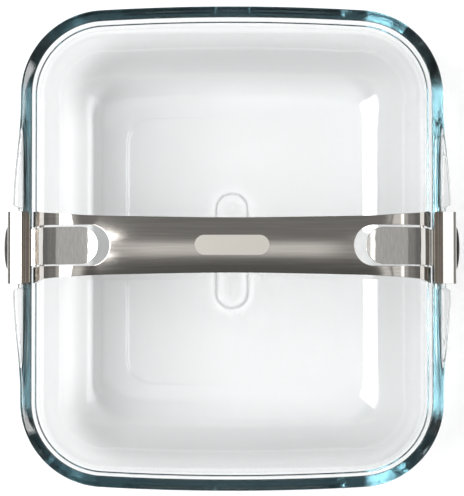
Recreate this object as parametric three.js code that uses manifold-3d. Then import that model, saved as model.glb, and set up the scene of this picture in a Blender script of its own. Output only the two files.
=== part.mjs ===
// Glass roasting dish with a removable carrying handle: a steel bow with a sprung clip at each end.
// Millimetres, +Z up. The handle runs along X, and the origin is on the table under the dish's middle.

import * as THREE from 'three';
import { mergeVertices } from 'three/addons/utils/BufferGeometryUtils.js';
import Module from 'manifold-3d';

const wasm = await Module();
wasm.setup();

const { asin, atan, cos, hypot, sin, tan, PI, abs, max, min } = Math;
const { degToRad: radians, radToDeg: degrees, lerp, smoothstep } = THREE.MathUtils;

// Glass dish: the rim seen from above
const RIM_LENGTH = 251;
const RIM_WIDTH = 219;
const CORNER_RADIUS = 44;
const FLOOR_CORNER = 17;
const END_BOW = 1.9;

// Glass dish: wall, floor and foot
const DISH_HEIGHT = 60;
const WALL_THICKNESS = 4.2;
const WALL_DRAFT = radians(4.3);
const FLOOR_THICKNESS = 5.5;
const FLOOR_FILLET = 38;
const FOOT_WIDTH = 6;
const FOOT_HEIGHT = 0.6;

// Glass dish: rim bead, inner ledge and the two ears
const BEAD_WIDTH = 6.4;
const BEAD_DEPTH = 5.6;
const BEAD_ROUND = 0.8;
const BEAD_EDGE_INSET = 0.3;
const UNDERCUT_SLOPE = radians(35);
const OVERHANG = 0.9;
const LEDGE_WIDTH = 0.6;
const LEDGE_DROP = 10;
const LEDGE_ROUND = 0.25;
const EAR_REACH = 3.9;
const EAR_LENGTH = 152;
const EAR_LIFT = 0.15;
const NOTCH_REACH = 1.3;
const NOTCH_CORNER = 1.6;
const NOTCH_CLEARANCE = 1.9;

// Glass dish: plain oval line moulded under the floor
const MARK_LENGTH = 62;
const MARK_WIDTH = 17;
const MARK_LINE = 1.2;
const MARK_HEIGHT = 0.35;

// Bow of the handle
const BOW_SHEET = 1.4;
const BOW_RISE = 53;
const BOW_END_SLOPE = radians(10);
const BOW_CORNER = 17;
const BOW_CROWN = 1.8;
const BOW_WIDTH_MIDDLE = 27.4;
const BOW_WIDTH_SHOULDER = 29.6;
const BOW_WIDTH_FOOT = 36.8;
const BOW_FLARE_START = 60;
const LEG_LEAN = radians(11);
const LEG_INSET = 7.4;
const LEG_FOOT = 2.4;

// Hinge of each clip
const PIN_RADIUS = 1.25;
const PIN_CLEARANCE = 0.1;
const PIN_ABOVE_RIM = 4.4;
const PIN_CHAMFER = 0.3;
const LEG_TO_PIN = 4.4;
const BOW_LUG_WIDTH = 31;
const LUG_RADIUS = 2.7;
const LUG_SEAT = 0.4;
const CLIP_LUG_SPACING = 15.2;

// Clip: tongue
const CLIP_SHEET = 1.2;
const TONGUE_WIDTH = 18.8;
const TONGUE_LEG = 19.4;
const TONGUE_CORNER = 19;
const TONGUE_FLAT = 15.5;
const TONGUE_SLOPE = radians(24);
const TONGUE_TIP_RADIUS = 27;
const TONGUE_TIP_TURN = radians(15);
const SLOT_SIDE_GAP = 0.8;
const SLOT_TIP_GAP = 6;

// Clip: shelf, brow, outer wall and hook
const CLIP_WIDTH = 37.2;
const FOLD_RADIUS = 0.8;
const SHELF_LENGTH = 5.2;
const SHELF_EDGE_GAP = 1;
const BROW_RADIUS = 2.5;
const BROW_TURN = radians(16);
const BROW_LENGTH = 5.3;
const SHOULDER_RADIUS = 2.6;
const OUTER_WALL = 12.2;
const HOOK_RADIUS = 2.8;
const HOOK_TURN = radians(163);
const LIP_LENGTH = 5.5;

// Silicone pad on the rim and bumper in the outer wall
const PAD_THICKNESS = 1.3;
const PAD_WIDTH = 4.6;
const PAD_LENGTH = 34;
const PAD_ROUND = 1.2;
const SEAT_GAP = 0.3;
const BUMPER_LENGTH = 22;
const BUMPER_HEIGHT = 9.4;
const BUMPER_DOME = 1.8;
const BUMPER_NECK = 10;
const BUMPER_COLLAR = 15;
const BUMPER_COLLAR_THICKNESS = 1;

// Torsion spring
const WIRE_RADIUS = 0.45;
const SPRING_TURNS = 6;
const SPRING_LENGTH = 9;
const SPRING_PIN_GAP = 0.35;
const SPRING_LEG = 9;
const WIRE_HOLE_GAP = 0.2;

// Facets
const CORNER_STEPS = 7;
const END_STEPS = 8;
const FILLET_STEPS = 9;
const EAR_STEPS = 7;
const NOTCH_STEPS = 3;
const ARCH_STEPS = 10;
const BEND_STEPS = 8;
const FOLD_STEPS = 4;
const CROWN_STEPS = 8;
const DOME_STEPS = 5;
const OVAL_SEGMENTS = 24;
const ROUND_SEGMENTS = 16;
const PAD_SEGMENTS = 4;
const CURL_STEPS = 8;
const WIRE_SIDES = 5;

// Cuts run past the faces they open by this much.
const CUT_PAST = 2;

// Places that several pieces share, at the +X end
const PIN_HEIGHT = DISH_HEIGHT + PIN_ABOVE_RIM;
const PIN_X = RIM_WIDTH / 2 - LEG_INSET - LEG_TO_PIN * cos(LEG_LEAN);
const LEG_X = PIN_X + LEG_TO_PIN * cos(LEG_LEAN);
const LEG_HEIGHT = PIN_HEIGHT + LEG_TO_PIN * sin(LEG_LEAN);
const SHELF_TOP = DISH_HEIGHT + PAD_THICKNESS + 2 * SEAT_GAP + CLIP_SHEET;

const glass = new THREE.MeshStandardMaterial({ color: '#cfe3e4', roughness: 0.05, metalness: 0 });
const brushedSteel = new THREE.MeshStandardMaterial({ color: '#a39d94', roughness: 0.35, metalness: 1 });
const polishedSteel = new THREE.MeshStandardMaterial({ color: '#bdb9b2', roughness: 0.15, metalness: 1 });
const springSteel = new THREE.MeshStandardMaterial({ color: '#8f8f8c', roughness: 0.3, metalness: 1 });
const silicone = new THREE.MeshStandardMaterial({ color: '#4a4845', roughness: 0.7, metalness: 0 });

// A closed mesh as a solid that can be cut and joined.
function solidFrom(geometry) {
  const bare = geometry.clone();
  bare.deleteAttribute('normal');
  bare.deleteAttribute('uv');
  const merged = mergeVertices(bare, 1e-5);
  const vertProperties = Float32Array.from(merged.getAttribute('position').array);
  const triVerts = Uint32Array.from(merged.getIndex().array);
  return new wasm.Manifold(new wasm.Mesh({ numProp: 3, vertProperties, triVerts }));
}

function geometryFrom(solid) {
  const { vertProperties, triVerts } = solid.getMesh();
  const geometry = new THREE.BufferGeometry();
  geometry.setAttribute('position', new THREE.BufferAttribute(vertProperties, 3));
  geometry.setIndex(new THREE.BufferAttribute(triVerts, 1));
  geometry.computeVertexNormals();
  return geometry;
}

// A closed skin through rings of points, each end closed by a fan round the ring's middle.
// Seen along the run of the rings, each ring turns so that its faces point outwards.
function loft(rings) {
  const count = rings[0].length;
  const points = rings.flat();
  const triangles = [];
  for (let i = 0; i < rings.length - 1; i += 1) {
    for (let j = 0; j < count; j += 1) {
      const a = i * count + j;
      const b = i * count + ((j + 1) % count);
      triangles.push(a, b, b + count, a, b + count, a + count);
    }
  }
  const first = points.push(middleOf(rings[0])) - 1;
  const last = points.push(middleOf(rings.at(-1))) - 1;
  const lastRing = (rings.length - 1) * count;
  for (let j = 0; j < count; j += 1) {
    const next = (j + 1) % count;
    triangles.push(first, next, j, last, lastRing + j, lastRing + next);
  }
  const geometry = new THREE.BufferGeometry().setFromPoints(points);
  geometry.setIndex(triangles);
  geometry.computeVertexNormals();
  return geometry;
}

function middleOf(ring) {
  const middle = new THREE.Vector3();
  ring.forEach((point) => middle.add(point));
  return middle.divideScalar(ring.length);
}

// A path in the XZ plane made of lines and arcs, which turn left where the angle is positive.
class SheetPath {
  constructor(heading) {
    this.stations = [{ x: 0, z: 0, heading }];
  }

  get end() {
    return this.stations.at(-1);
  }

  line(length) {
    const { x, z, heading } = this.end;
    this.stations.push({ x: x + length * cos(heading), z: z + length * sin(heading), heading });
    return this;
  }

  arc(radius, turn, steps) {
    const side = Math.sign(turn);
    const { x, z, heading } = this.end;
    const centreX = x - side * radius * sin(heading);
    const centreZ = z + side * radius * cos(heading);
    for (let i = 1; i <= steps; i += 1) {
      const angle = heading + (turn * i) / steps;
      this.stations.push({
        x: centreX + side * radius * sin(angle),
        z: centreZ - side * radius * cos(angle),
        heading: angle,
      });
    }
    return this;
  }

  // Slides the whole path so that one of its stations comes to lie at a point.
  place(index, x, z) {
    const shiftX = x - this.stations[index].x;
    const shiftZ = z - this.stations[index].z;
    for (const station of this.stations) {
      station.x += shiftX;
      station.z += shiftZ;
    }
    return this;
  }
}

// A flat shape in X and Z, extruded along Y between two places.
function slabAlongY(shape, yLow, yHigh) {
  const geometry = new THREE.ExtrudeGeometry(shape, {
    depth: yHigh - yLow,
    bevelEnabled: false,
    curveSegments: ROUND_SEGMENTS,
  });
  geometry.rotateX(PI / 2);
  geometry.translate(0, yHigh, 0);
  return solidFrom(geometry);
}

// A flat shape in X and Y, extruded along Z between two heights.
function slabAlongZ(shape, zLow, zHigh, curveSegments = ROUND_SEGMENTS) {
  const geometry = new THREE.ExtrudeGeometry(shape, {
    depth: zHigh - zLow,
    bevelEnabled: false,
    curveSegments,
  });
  geometry.translate(0, 0, zLow);
  return solidFrom(geometry);
}

// A bent sheet of one width: its outer face follows the stations and its body lies on their right.
function bentSheet(stations, thickness, width) {
  const outer = stations.map(({ x, z }) => new THREE.Vector2(x, z));
  const inner = stations.map(({ x, z, heading }) => (
    new THREE.Vector2(x + thickness * sin(heading), z - thickness * cos(heading))
  ));
  const shape = new THREE.Shape([...outer, ...inner.reverse()]);
  return slabAlongY(shape, -width / 2, width / 2);
}

// A shape along X with straight sides and a half round end on the side of low X.
function roundEndedShape(xTip, xEnd, width) {
  const radius = width / 2;
  const shape = new THREE.Shape();
  shape.moveTo(xEnd, -radius);
  shape.lineTo(xEnd, radius);
  shape.lineTo(xTip + radius, radius);
  shape.absarc(xTip + radius, 0, radius, PI / 2, (3 * PI) / 2, false);
  return shape;
}

// A lug beside the pin, square to it, with one end seated in the leg that carries it.
function pinLug(legSheet, yLow, yHigh) {
  const seat = LEG_TO_PIN - legSheet + LUG_SEAT;
  const shape = new THREE.Shape();
  shape.moveTo(seat, -LUG_RADIUS);
  shape.lineTo(seat, LUG_RADIUS);
  shape.lineTo(0, LUG_RADIUS);
  shape.absarc(0, 0, LUG_RADIUS, PI / 2, (3 * PI) / 2, false);
  const bore = new THREE.Path();
  bore.absarc(0, 0, PIN_RADIUS + PIN_CLEARANCE, 0, 2 * PI, true);
  shape.holes.push(bore);
  return slabAlongY(shape, yLow, yHigh)
    .rotate([0, -degrees(LEG_LEAN), 0])
    .translate([PIN_X, 0, PIN_HEIGHT]);
}

function lugPair(legSheet, width) {
  const outer = width / 2;
  const inner = outer - legSheet;
  return pinLug(legSheet, inner, outer).add(pinLug(legSheet, -outer, -inner));
}

// Lines of the dish's wall, as an inset from the rim's outer line at a height
const LEDGE_HEIGHT = DISH_HEIGHT - LEDGE_DROP;
const LEDGE_TOP_INSET = BEAD_WIDTH + LEDGE_DROP * tan(WALL_DRAFT);
const LEDGE_INSET = LEDGE_TOP_INSET + LEDGE_WIDTH;

function innerWallInset(height) {
  return LEDGE_INSET + (LEDGE_HEIGHT - height) * tan(WALL_DRAFT);
}

function outerWallInset(height) {
  return innerWallInset(height) - WALL_THICKNESS / cos(WALL_DRAFT);
}

// The ends are arcs that meet the rim's corners without a kink. Their middle lies on the Y axis.
const END_HALF = RIM_WIDTH / 2 - CORNER_RADIUS;
const END_RADIUS = END_HALF / sin(2 * atan(END_BOW / END_HALF)) + CORNER_RADIUS;
const END_CENTRE = RIM_LENGTH / 2 - END_RADIUS;

// A ring's corner radius shrinks with the inset, but more slowly below the wall, so that the floor's
// corners stay round.
const FLOOR_INSET = innerWallInset(FLOOR_THICKNESS + FLOOR_FILLET) + FLOOR_FILLET / cos(WALL_DRAFT);
const CORNER_SLACK = (FLOOR_CORNER + FLOOR_INSET - CORNER_RADIUS) / (FLOOR_INSET - LEDGE_INSET);

function cornerRadius(inset) {
  return CORNER_RADIUS - inset + CORNER_SLACK * max(inset - LEDGE_INSET, 0);
}

// How far an ear stands out from the rim, at a place along the side.
function earReach(y) {
  const along = abs(y);
  const notchEnd = CLIP_WIDTH / 2 + NOTCH_CLEARANCE;
  const notchSide = notchEnd + NOTCH_CORNER;
  const ear = EAR_REACH * smoothstep(EAR_LENGTH / 2 - along, 0, EAR_LENGTH / 2 - notchSide);
  const open = smoothstep(along, notchEnd, notchSide);
  return lerp(NOTCH_REACH, ear, open);
}

// Places along a long side where the skin of the dish has its points.
function sideStations(sideHalf) {
  const notchEnd = CLIP_WIDTH / 2 + NOTCH_CLEARANCE;
  const notchSide = notchEnd + NOTCH_CORNER;
  const half = [];
  for (let i = 0; i < NOTCH_STEPS; i += 1) {
    half.push(lerp(notchEnd, notchSide, i / NOTCH_STEPS));
  }
  for (let i = 0; i <= EAR_STEPS; i += 1) {
    half.push(lerp(notchSide, sideHalf, i / EAR_STEPS));
  }
  return [...half.map((y) => -y).reverse(), 0, ...half];
}

// One ring of the dish's skin: a rectangle with round corners, bowed ends and the two ears.
// The spread is how much farther out the ring lies away from the ears. Where an ear reaches out farther
// than the notch, it rises no more.
function dishRing({ inset, height, earOut = 0, earUp = 0, spread = 0 }) {
  const radius = cornerRadius(inset);
  const halfWidth = RIM_WIDTH / 2 - inset;
  const endHalf = halfWidth - radius;
  const endReach = END_RADIUS - inset - radius;
  const endTurn = asin(endHalf / endReach);
  const sideHalf = END_CENTRE + endReach * cos(endTurn);
  const half = [];
  for (const y of sideStations(sideHalf)) {
    const reach = earReach(y);
    const x = halfWidth + earOut * reach + spread * (1 - smoothstep(reach, 0, NOTCH_REACH));
    half.push(new THREE.Vector3(x, y, height + earUp * min(reach, NOTCH_REACH)));
  }
  const corner = [];
  for (let i = 1; i < CORNER_STEPS; i += 1) {
    const angle = ((PI / 2 - endTurn) * i) / CORNER_STEPS;
    const x = endHalf + (radius + spread) * cos(angle);
    corner.push(new THREE.Vector3(x, sideHalf + (radius + spread) * sin(angle), height));
  }
  half.push(...corner);
  const endRadius = END_RADIUS - inset + spread;
  for (let i = 0; i <= END_STEPS; i += 1) {
    const angle = endTurn * (1 - (2 * i) / END_STEPS);
    half.push(new THREE.Vector3(endRadius * sin(angle), END_CENTRE + endRadius * cos(angle), height));
  }
  half.push(...corner.reverse().map(({ x, y, z }) => new THREE.Vector3(-x, y, z)));
  const otherHalf = half.map(({ x, y, z }) => new THREE.Vector3(-x, -y, z));
  return [...half, ...otherHalf];
}

// Insets and heights of an arc between a level line and the drafted wall, from the level line up.
function filletProfile(radius, levelHeight, wallInset) {
  const centreHeight = levelHeight + radius;
  const centreInset = wallInset(centreHeight) + radius / cos(WALL_DRAFT);
  const sweep = PI / 2 - WALL_DRAFT;
  const profile = [];
  for (let i = 0; i <= FILLET_STEPS; i += 1) {
    const angle = (sweep * i) / FILLET_STEPS;
    profile.push({
      inset: centreInset - radius * sin(angle),
      height: centreHeight - radius * cos(angle),
    });
  }
  return profile;
}

// The dish's section from the underside's middle, up the outside, over the rim and down to the floor.
function dishProfile() {
  const outerFillet = filletProfile(FLOOR_FILLET + WALL_THICKNESS, 0, outerWallInset);
  const innerFillet = filletProfile(FLOOR_FILLET, FLOOR_THICKNESS, innerWallInset);
  const footInset = outerFillet[0].inset + FOOT_WIDTH;
  const foot = [
    { inset: footInset + FOOT_HEIGHT, height: FOOT_HEIGHT },
    { inset: footInset, height: 0 },
  ];
  const edgeLow = DISH_HEIGHT - BEAD_DEPTH;
  const edgeHigh = DISH_HEIGHT - BEAD_ROUND;
  const undercut = tan(UNDERCUT_SLOPE);
  const underInset = BEAD_EDGE_INSET + OVERHANG;
  const bead = [
    { inset: underInset, height: edgeLow - OVERHANG * undercut, spread: OVERHANG },
    { inset: BEAD_EDGE_INSET, height: edgeLow, earOut: 1, earUp: undercut },
    { inset: 0, height: (edgeLow + edgeHigh) / 2, earOut: 1, earUp: (undercut + EAR_LIFT) / 2 },
    { inset: BEAD_EDGE_INSET, height: edgeHigh, earOut: 1, earUp: EAR_LIFT },
    { inset: BEAD_ROUND, height: DISH_HEIGHT - BEAD_EDGE_INSET },
    { inset: BEAD_WIDTH / 2, height: DISH_HEIGHT },
    { inset: BEAD_WIDTH - BEAD_ROUND, height: DISH_HEIGHT - BEAD_EDGE_INSET },
    { inset: BEAD_WIDTH - BEAD_EDGE_INSET, height: edgeHigh },
  ];
  const ledge = [
    { inset: LEDGE_TOP_INSET, height: LEDGE_HEIGHT + LEDGE_ROUND },
    { inset: LEDGE_INSET, height: LEDGE_HEIGHT - LEDGE_ROUND },
  ];
  return [...foot, ...outerFillet, ...bead, ...ledge, ...innerFillet.reverse()];
}

// The plain oval line that stands down from the recess under the floor.
function floorMark() {
  const outline = (inset, path) => {
    const radius = MARK_WIDTH / 2 - inset;
    const straight = (MARK_LENGTH - MARK_WIDTH) / 2;
    path.absarc(0, straight, radius, 0, PI, false);
    path.absarc(0, -straight, radius, PI, 2 * PI, false);
    return path;
  };
  const shape = outline(0, new THREE.Shape());
  shape.holes.push(outline(MARK_LINE, new THREE.Path()));
  return slabAlongZ(shape, FOOT_HEIGHT - MARK_HEIGHT, (FOOT_HEIGHT + FLOOR_THICKNESS) / 2);
}

function glassDish() {
  const body = solidFrom(loft(dishProfile().map(dishRing)));
  return body.add(floorMark());
}

// Half of the bow's outer face, from its top to the foot of the leg at +X. The leg's length follows
// from the bow's rise, because the leg, the corner and the arch have to meet without a kink.
function bowPath() {
  const cornerRun = BOW_CORNER * (cos(LEG_LEAN) - sin(BOW_END_SLOPE));
  const cornerRise = BOW_CORNER * (cos(BOW_END_SLOPE) - sin(LEG_LEAN));
  const archRise = tan(BOW_END_SLOPE / 2);
  const rise = DISH_HEIGHT + BOW_RISE - LEG_HEIGHT;
  const leg = (rise - cornerRise - (LEG_X - cornerRun) * archRise)
    / (cos(LEG_LEAN) - sin(LEG_LEAN) * archRise);
  const archEnd = LEG_X - leg * sin(LEG_LEAN) - cornerRun;
  const path = new SheetPath(0)
    .arc(archEnd / sin(BOW_END_SLOPE), -BOW_END_SLOPE, ARCH_STEPS)
    .arc(BOW_CORNER, BOW_END_SLOPE + LEG_LEAN - PI / 2, BEND_STEPS)
    .line(leg / 2)
    .line(leg / 2)
    .line(LEG_FOOT);
  return path.place(0, 0, DISH_HEIGHT + BOW_RISE);
}

// Adds to each station its distance along the path.
function measured(stations) {
  let along = 0;
  return stations.map((station, i) => {
    const before = stations[max(i - 1, 0)];
    along += hypot(station.x - before.x, station.z - before.z);
    return { ...station, along };
  });
}

const bowHalf = measured(bowPath().stations);
const bowLength = bowHalf.at(-1).along;
const bowArch = bowHalf[ARCH_STEPS].along;

// One section of the bow: crowned across on its arch, flat on its legs, and wider towards its ends.
function bowRing({ x, z, heading, along }) {
  const arch = lerp(BOW_WIDTH_MIDDLE, BOW_WIDTH_SHOULDER, smoothstep(along, 0, bowArch));
  const halfWidth = lerp(arch, BOW_WIDTH_FOOT, smoothstep(along, BOW_FLARE_START, bowLength)) / 2;
  const crown = BOW_CROWN * (1 - smoothstep(abs(heading), BOW_END_SLOPE, PI / 2 - LEG_LEAN));
  const face = (depth) => Array.from({ length: CROWN_STEPS + 1 }, (_, i) => {
    const across = 1 - (2 * i) / CROWN_STEPS;
    const sunk = depth + crown * across * across;
    return new THREE.Vector3(x + sunk * sin(heading), halfWidth * across, z - sunk * cos(heading));
  });
  return [...face(0), ...face(BOW_SHEET).reverse()];
}

// The clip's outer face from the tongue's tip down its leg, over the rim and round the hook. The
// marks are the stations where the leg passes the pin and where the shelf and the wall begin.
function clipPath() {
  const drop = LEG_HEIGHT - SHELF_TOP - FOLD_RADIUS * (1 - sin(LEG_LEAN));
  const legHeading = LEG_LEAN - PI / 2;
  const path = new SheetPath(TONGUE_TIP_TURN - TONGUE_SLOPE)
    .arc(TONGUE_TIP_RADIUS, -TONGUE_TIP_TURN, FOLD_STEPS)
    .line(TONGUE_FLAT)
    .arc(TONGUE_CORNER, TONGUE_SLOPE + legHeading, BEND_STEPS)
    .line(TONGUE_LEG);
  const pinMark = path.stations.length - 1;
  path.line(drop / cos(LEG_LEAN)).arc(FOLD_RADIUS, -legHeading, FOLD_STEPS);
  const shelfMark = path.stations.length - 1;
  path.line(SHELF_EDGE_GAP)
    .line(SHELF_LENGTH - SHELF_EDGE_GAP)
    .arc(BROW_RADIUS, -BROW_TURN, FOLD_STEPS)
    .line(BROW_LENGTH)
    .arc(SHOULDER_RADIUS, BROW_TURN - PI / 2, FOLD_STEPS);
  const wallMark = path.stations.length - 1;
  path.line(OUTER_WALL)
    .arc(HOOK_RADIUS, -HOOK_TURN, BEND_STEPS)
    .line(LIP_LENGTH);
  path.place(pinMark, LEG_X, LEG_HEIGHT);
  return { stations: path.stations, shelfMark, wallMark };
}

const clip = clipPath();
const tongueTipX = clip.stations[0].x;
const outerWallStart = clip.stations[clip.wallMark];

// The bow with its two slots cut and its four pin lugs added.
function handleBow() {
  const otherHalf = bowHalf.slice(1).reverse().map((station) => (
    { ...station, x: -station.x, heading: -station.heading }
  ));
  const sheet = solidFrom(loft([...otherHalf, ...bowHalf].map(bowRing)));
  const slotWidth = TONGUE_WIDTH + 2 * SLOT_SIDE_GAP;
  const slotShape = roundEndedShape(tongueTipX - SLOT_TIP_GAP, RIM_WIDTH / 2, slotWidth);
  const slot = slabAlongZ(slotShape, DISH_HEIGHT, DISH_HEIGHT + BOW_RISE + CUT_PAST);
  const lugs = lugPair(BOW_SHEET, BOW_LUG_WIDTH);
  return sheet
    .subtract(slot)
    .subtract(slot.rotate([0, 0, 180]))
    .add(lugs)
    .add(lugs.rotate([0, 0, 180]));
}

// Points of axial place and radius, as a lathe takes them.
function turnedProfile(points) {
  return points.map(([axial, radius]) => new THREE.Vector2(radius, axial));
}

// A shape turned about the X axis and squeezed in height.
function ovalTurned(points, squeeze) {
  const geometry = new THREE.LatheGeometry(turnedProfile(points), OVAL_SEGMENTS);
  geometry.rotateZ(-PI / 2);
  geometry.scale(1, 1, squeeze);
  geometry.translate(outerWallStart.x, 0, outerWallStart.z - OUTER_WALL / 2);
  return solidFrom(geometry);
}

const BUMPER_SQUEEZE = BUMPER_HEIGHT / BUMPER_LENGTH;

// The oval hole that the bumper's neck passes.
function bumperHole() {
  const radius = BUMPER_NECK / 2 + SEAT_GAP / BUMPER_SQUEEZE;
  const low = -CLIP_SHEET - CUT_PAST / 2;
  const high = CUT_PAST / 2;
  return ovalTurned([[low, 0], [low, radius], [high, radius], [high, 0]], BUMPER_SQUEEZE);
}

// A dome outside the wall, a neck through it and a collar behind it, in one piece.
function bumper() {
  const inside = -CLIP_SHEET - SEAT_GAP;
  const points = [
    [inside - BUMPER_COLLAR_THICKNESS, 0],
    [inside - BUMPER_COLLAR_THICKNESS, BUMPER_COLLAR / 2 - BUMPER_COLLAR_THICKNESS / 2],
    [inside - BUMPER_COLLAR_THICKNESS / 2, BUMPER_COLLAR / 2],
    [inside, BUMPER_COLLAR / 2],
    [inside, BUMPER_NECK / 2],
    [SEAT_GAP, BUMPER_NECK / 2],
  ];
  for (let i = 0; i < DOME_STEPS; i += 1) {
    const angle = ((PI / 2) * i) / DOME_STEPS;
    points.push([SEAT_GAP + BUMPER_DOME * sin(angle), (BUMPER_LENGTH / 2) * cos(angle)]);
  }
  points.push([SEAT_GAP + BUMPER_DOME, 0]);
  return ovalTurned(points, BUMPER_SQUEEZE);
}

// The clip: a narrow tongue and a wide shelf, brow, wall and hook bent from one sheet, with two lugs.
function clipBody() {
  const { stations, shelfMark } = clip;
  const narrow = bentSheet(stations.slice(0, shelfMark + 3), CLIP_SHEET, TONGUE_WIDTH);
  const tipShape = roundEndedShape(tongueTipX, RIM_WIDTH, TONGUE_WIDTH);
  const tipTrim = slabAlongZ(tipShape, 0, DISH_HEIGHT + BOW_RISE);
  const wide = bentSheet(stations.slice(shelfMark + 1), CLIP_SHEET, CLIP_WIDTH);
  return narrow
    .intersect(tipTrim)
    .add(wide)
    .add(lugPair(CLIP_SHEET, CLIP_LUG_SPACING + CLIP_SHEET))
    .subtract(bumperHole());
}

// The pin, with a cross hole that takes the spring's end.
function hingePin() {
  const half = BOW_LUG_WIDTH / 2;
  const profile = [
    [-half, 0],
    [-half, PIN_RADIUS - PIN_CHAMFER],
    [PIN_CHAMFER - half, PIN_RADIUS],
    [half - PIN_CHAMFER, PIN_RADIUS],
    [half, PIN_RADIUS - PIN_CHAMFER],
    [half, 0],
  ];
  const pin = new THREE.LatheGeometry(turnedProfile(profile), ROUND_SEGMENTS);
  pin.translate(PIN_X, 0, PIN_HEIGHT);
  const holeRadius = WIRE_RADIUS + WIRE_HOLE_GAP;
  const holeLength = 2 * (PIN_RADIUS + CUT_PAST);
  const hole = new THREE.CylinderGeometry(holeRadius, holeRadius, holeLength, ROUND_SEGMENTS);
  hole.rotateZ(PI / 2);
  hole.translate(PIN_X, -SPRING_LENGTH / 2, PIN_HEIGHT);
  return solidFrom(pin).subtract(solidFrom(hole));
}

// The pad glued under the shelf, on the crown of the rim.
function rimPad() {
  const low = clip.stations[clip.shelfMark].x + SHELF_EDGE_GAP;
  const middle = low + PAD_WIDTH / 2;
  const halfWidth = PAD_WIDTH / 2 - PAD_ROUND;
  const halfLength = PAD_LENGTH / 2 - PAD_ROUND;
  const shape = new THREE.Shape();
  shape.absarc(middle + halfWidth, halfLength, PAD_ROUND, 0, PI / 2, false);
  shape.absarc(middle - halfWidth, halfLength, PAD_ROUND, PI / 2, PI, false);
  shape.absarc(middle - halfWidth, -halfLength, PAD_ROUND, PI, (3 * PI) / 2, false);
  shape.absarc(middle + halfWidth, -halfLength, PAD_ROUND, (3 * PI) / 2, 2 * PI, false);
  const bottom = DISH_HEIGHT + SEAT_GAP;
  return slabAlongZ(shape, bottom, bottom + PAD_THICKNESS, PAD_SEGMENTS);
}

// The spring's wire: an end through the pin, the curls round it and a leg up the tongue's back.
function springRoute() {
  const radius = PIN_RADIUS + SPRING_PIN_GAP + WIRE_RADIUS;
  const half = SPRING_LENGTH / 2;
  const at = (distance, angle, y) => new THREE.Vector3(
    PIN_X + distance * cos(angle),
    y,
    PIN_HEIGHT + distance * sin(angle),
  );
  const start = PI;
  const route = [at(-PIN_RADIUS, start, -half), at(PIN_RADIUS, start, -half)];
  const turn = 2 * PI * SPRING_TURNS + LEG_LEAN - PI;
  const steps = Math.round((CURL_STEPS * turn) / (2 * PI));
  for (let i = 0; i <= steps; i += 1) {
    route.push(at(radius, start + (turn * i) / steps, -half + (SPRING_LENGTH * i) / steps));
  }
  const lean = LEG_TO_PIN - CLIP_SHEET - SEAT_GAP - WIRE_RADIUS - radius;
  const legEnd = route.at(-1).clone();
  legEnd.x += lean * cos(LEG_LEAN) - SPRING_LEG * sin(LEG_LEAN);
  legEnd.z += lean * sin(LEG_LEAN) + SPRING_LEG * cos(LEG_LEAN);
  route.push(legEnd);
  return route;
}

// The least gap that the wire keeps to itself, measured between points more than half a curl apart.
function leastSelfGap(route) {
  let least = Infinity;
  const curls = route.slice(2);
  curls.forEach((point, i) => {
    curls.slice(i + CURL_STEPS / 2 + 1).forEach((other) => {
      least = min(least, point.distanceTo(other));
    });
  });
  return least - 2 * WIRE_RADIUS;
}

// A round wire along a route, with its sides turned as little as possible from step to step.
function wireAlong(route) {
  const rings = [];
  const normal = new THREE.Vector3(0, 1, 0);
  route.forEach((point, i) => {
    const before = route[Math.max(i - 1, 0)];
    const after = route[min(i + 1, route.length - 1)];
    const tangent = after.clone().sub(before).normalize();
    normal.addScaledVector(tangent, -normal.dot(tangent)).normalize();
    const across = tangent.clone().cross(normal);
    const ring = [];
    for (let j = 0; j < WIRE_SIDES; j += 1) {
      const angle = (2 * PI * j) / WIRE_SIDES;
      ring.push(point.clone()
        .addScaledVector(normal, WIRE_RADIUS * cos(angle))
        .addScaledVector(across, WIRE_RADIUS * sin(angle)));
    }
    rings.push(ring);
  });
  return loft(rings);
}

function piece(name, geometry, material) {
  const mesh = new THREE.Mesh(geometry, material);
  mesh.name = name;
  return mesh;
}

const spring = springRoute();
console.log(`spring: least gap to itself ${leastSelfGap(spring).toFixed(2)} mm`);

// Everything that repeats at the two ends of the handle, built at +X.
function handleEnd(side) {
  const end = new THREE.Group();
  end.add(
    piece(`${side}_clip`, geometryFrom(clipBody()), polishedSteel),
    piece(`${side}_hinge_pin`, geometryFrom(hingePin()), springSteel),
    piece(`${side}_spring`, wireAlong(spring), springSteel),
    piece(`${side}_rim_pad`, geometryFrom(rimPad()), silicone),
    piece(`${side}_bumper`, geometryFrom(bumper()), silicone),
  );
  return end;
}

const dish = new THREE.Group();
dish.add(piece('glass_dish', geometryFrom(glassDish()), glass));
dish.add(piece('handle_bow', geometryFrom(handleBow()), brushedSteel));
dish.add(handleEnd('right'));
const leftEnd = handleEnd('left');
leftEnd.rotation.z = PI;
dish.add(leftEnd);

export default dish;
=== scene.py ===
"""Looks of a glass roasting dish with a removable carrying handle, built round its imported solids.

Sizes are in millimetres up to the point where a mesh is made. +Z is up, and the handle runs along X.
"""

from math import asin, atan, cos, hypot, pi, radians, sin, sqrt, tan

import bmesh
import bpy
import numpy as np
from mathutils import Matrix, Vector
from mathutils.geometry import delaunay_2d_cdt


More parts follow.
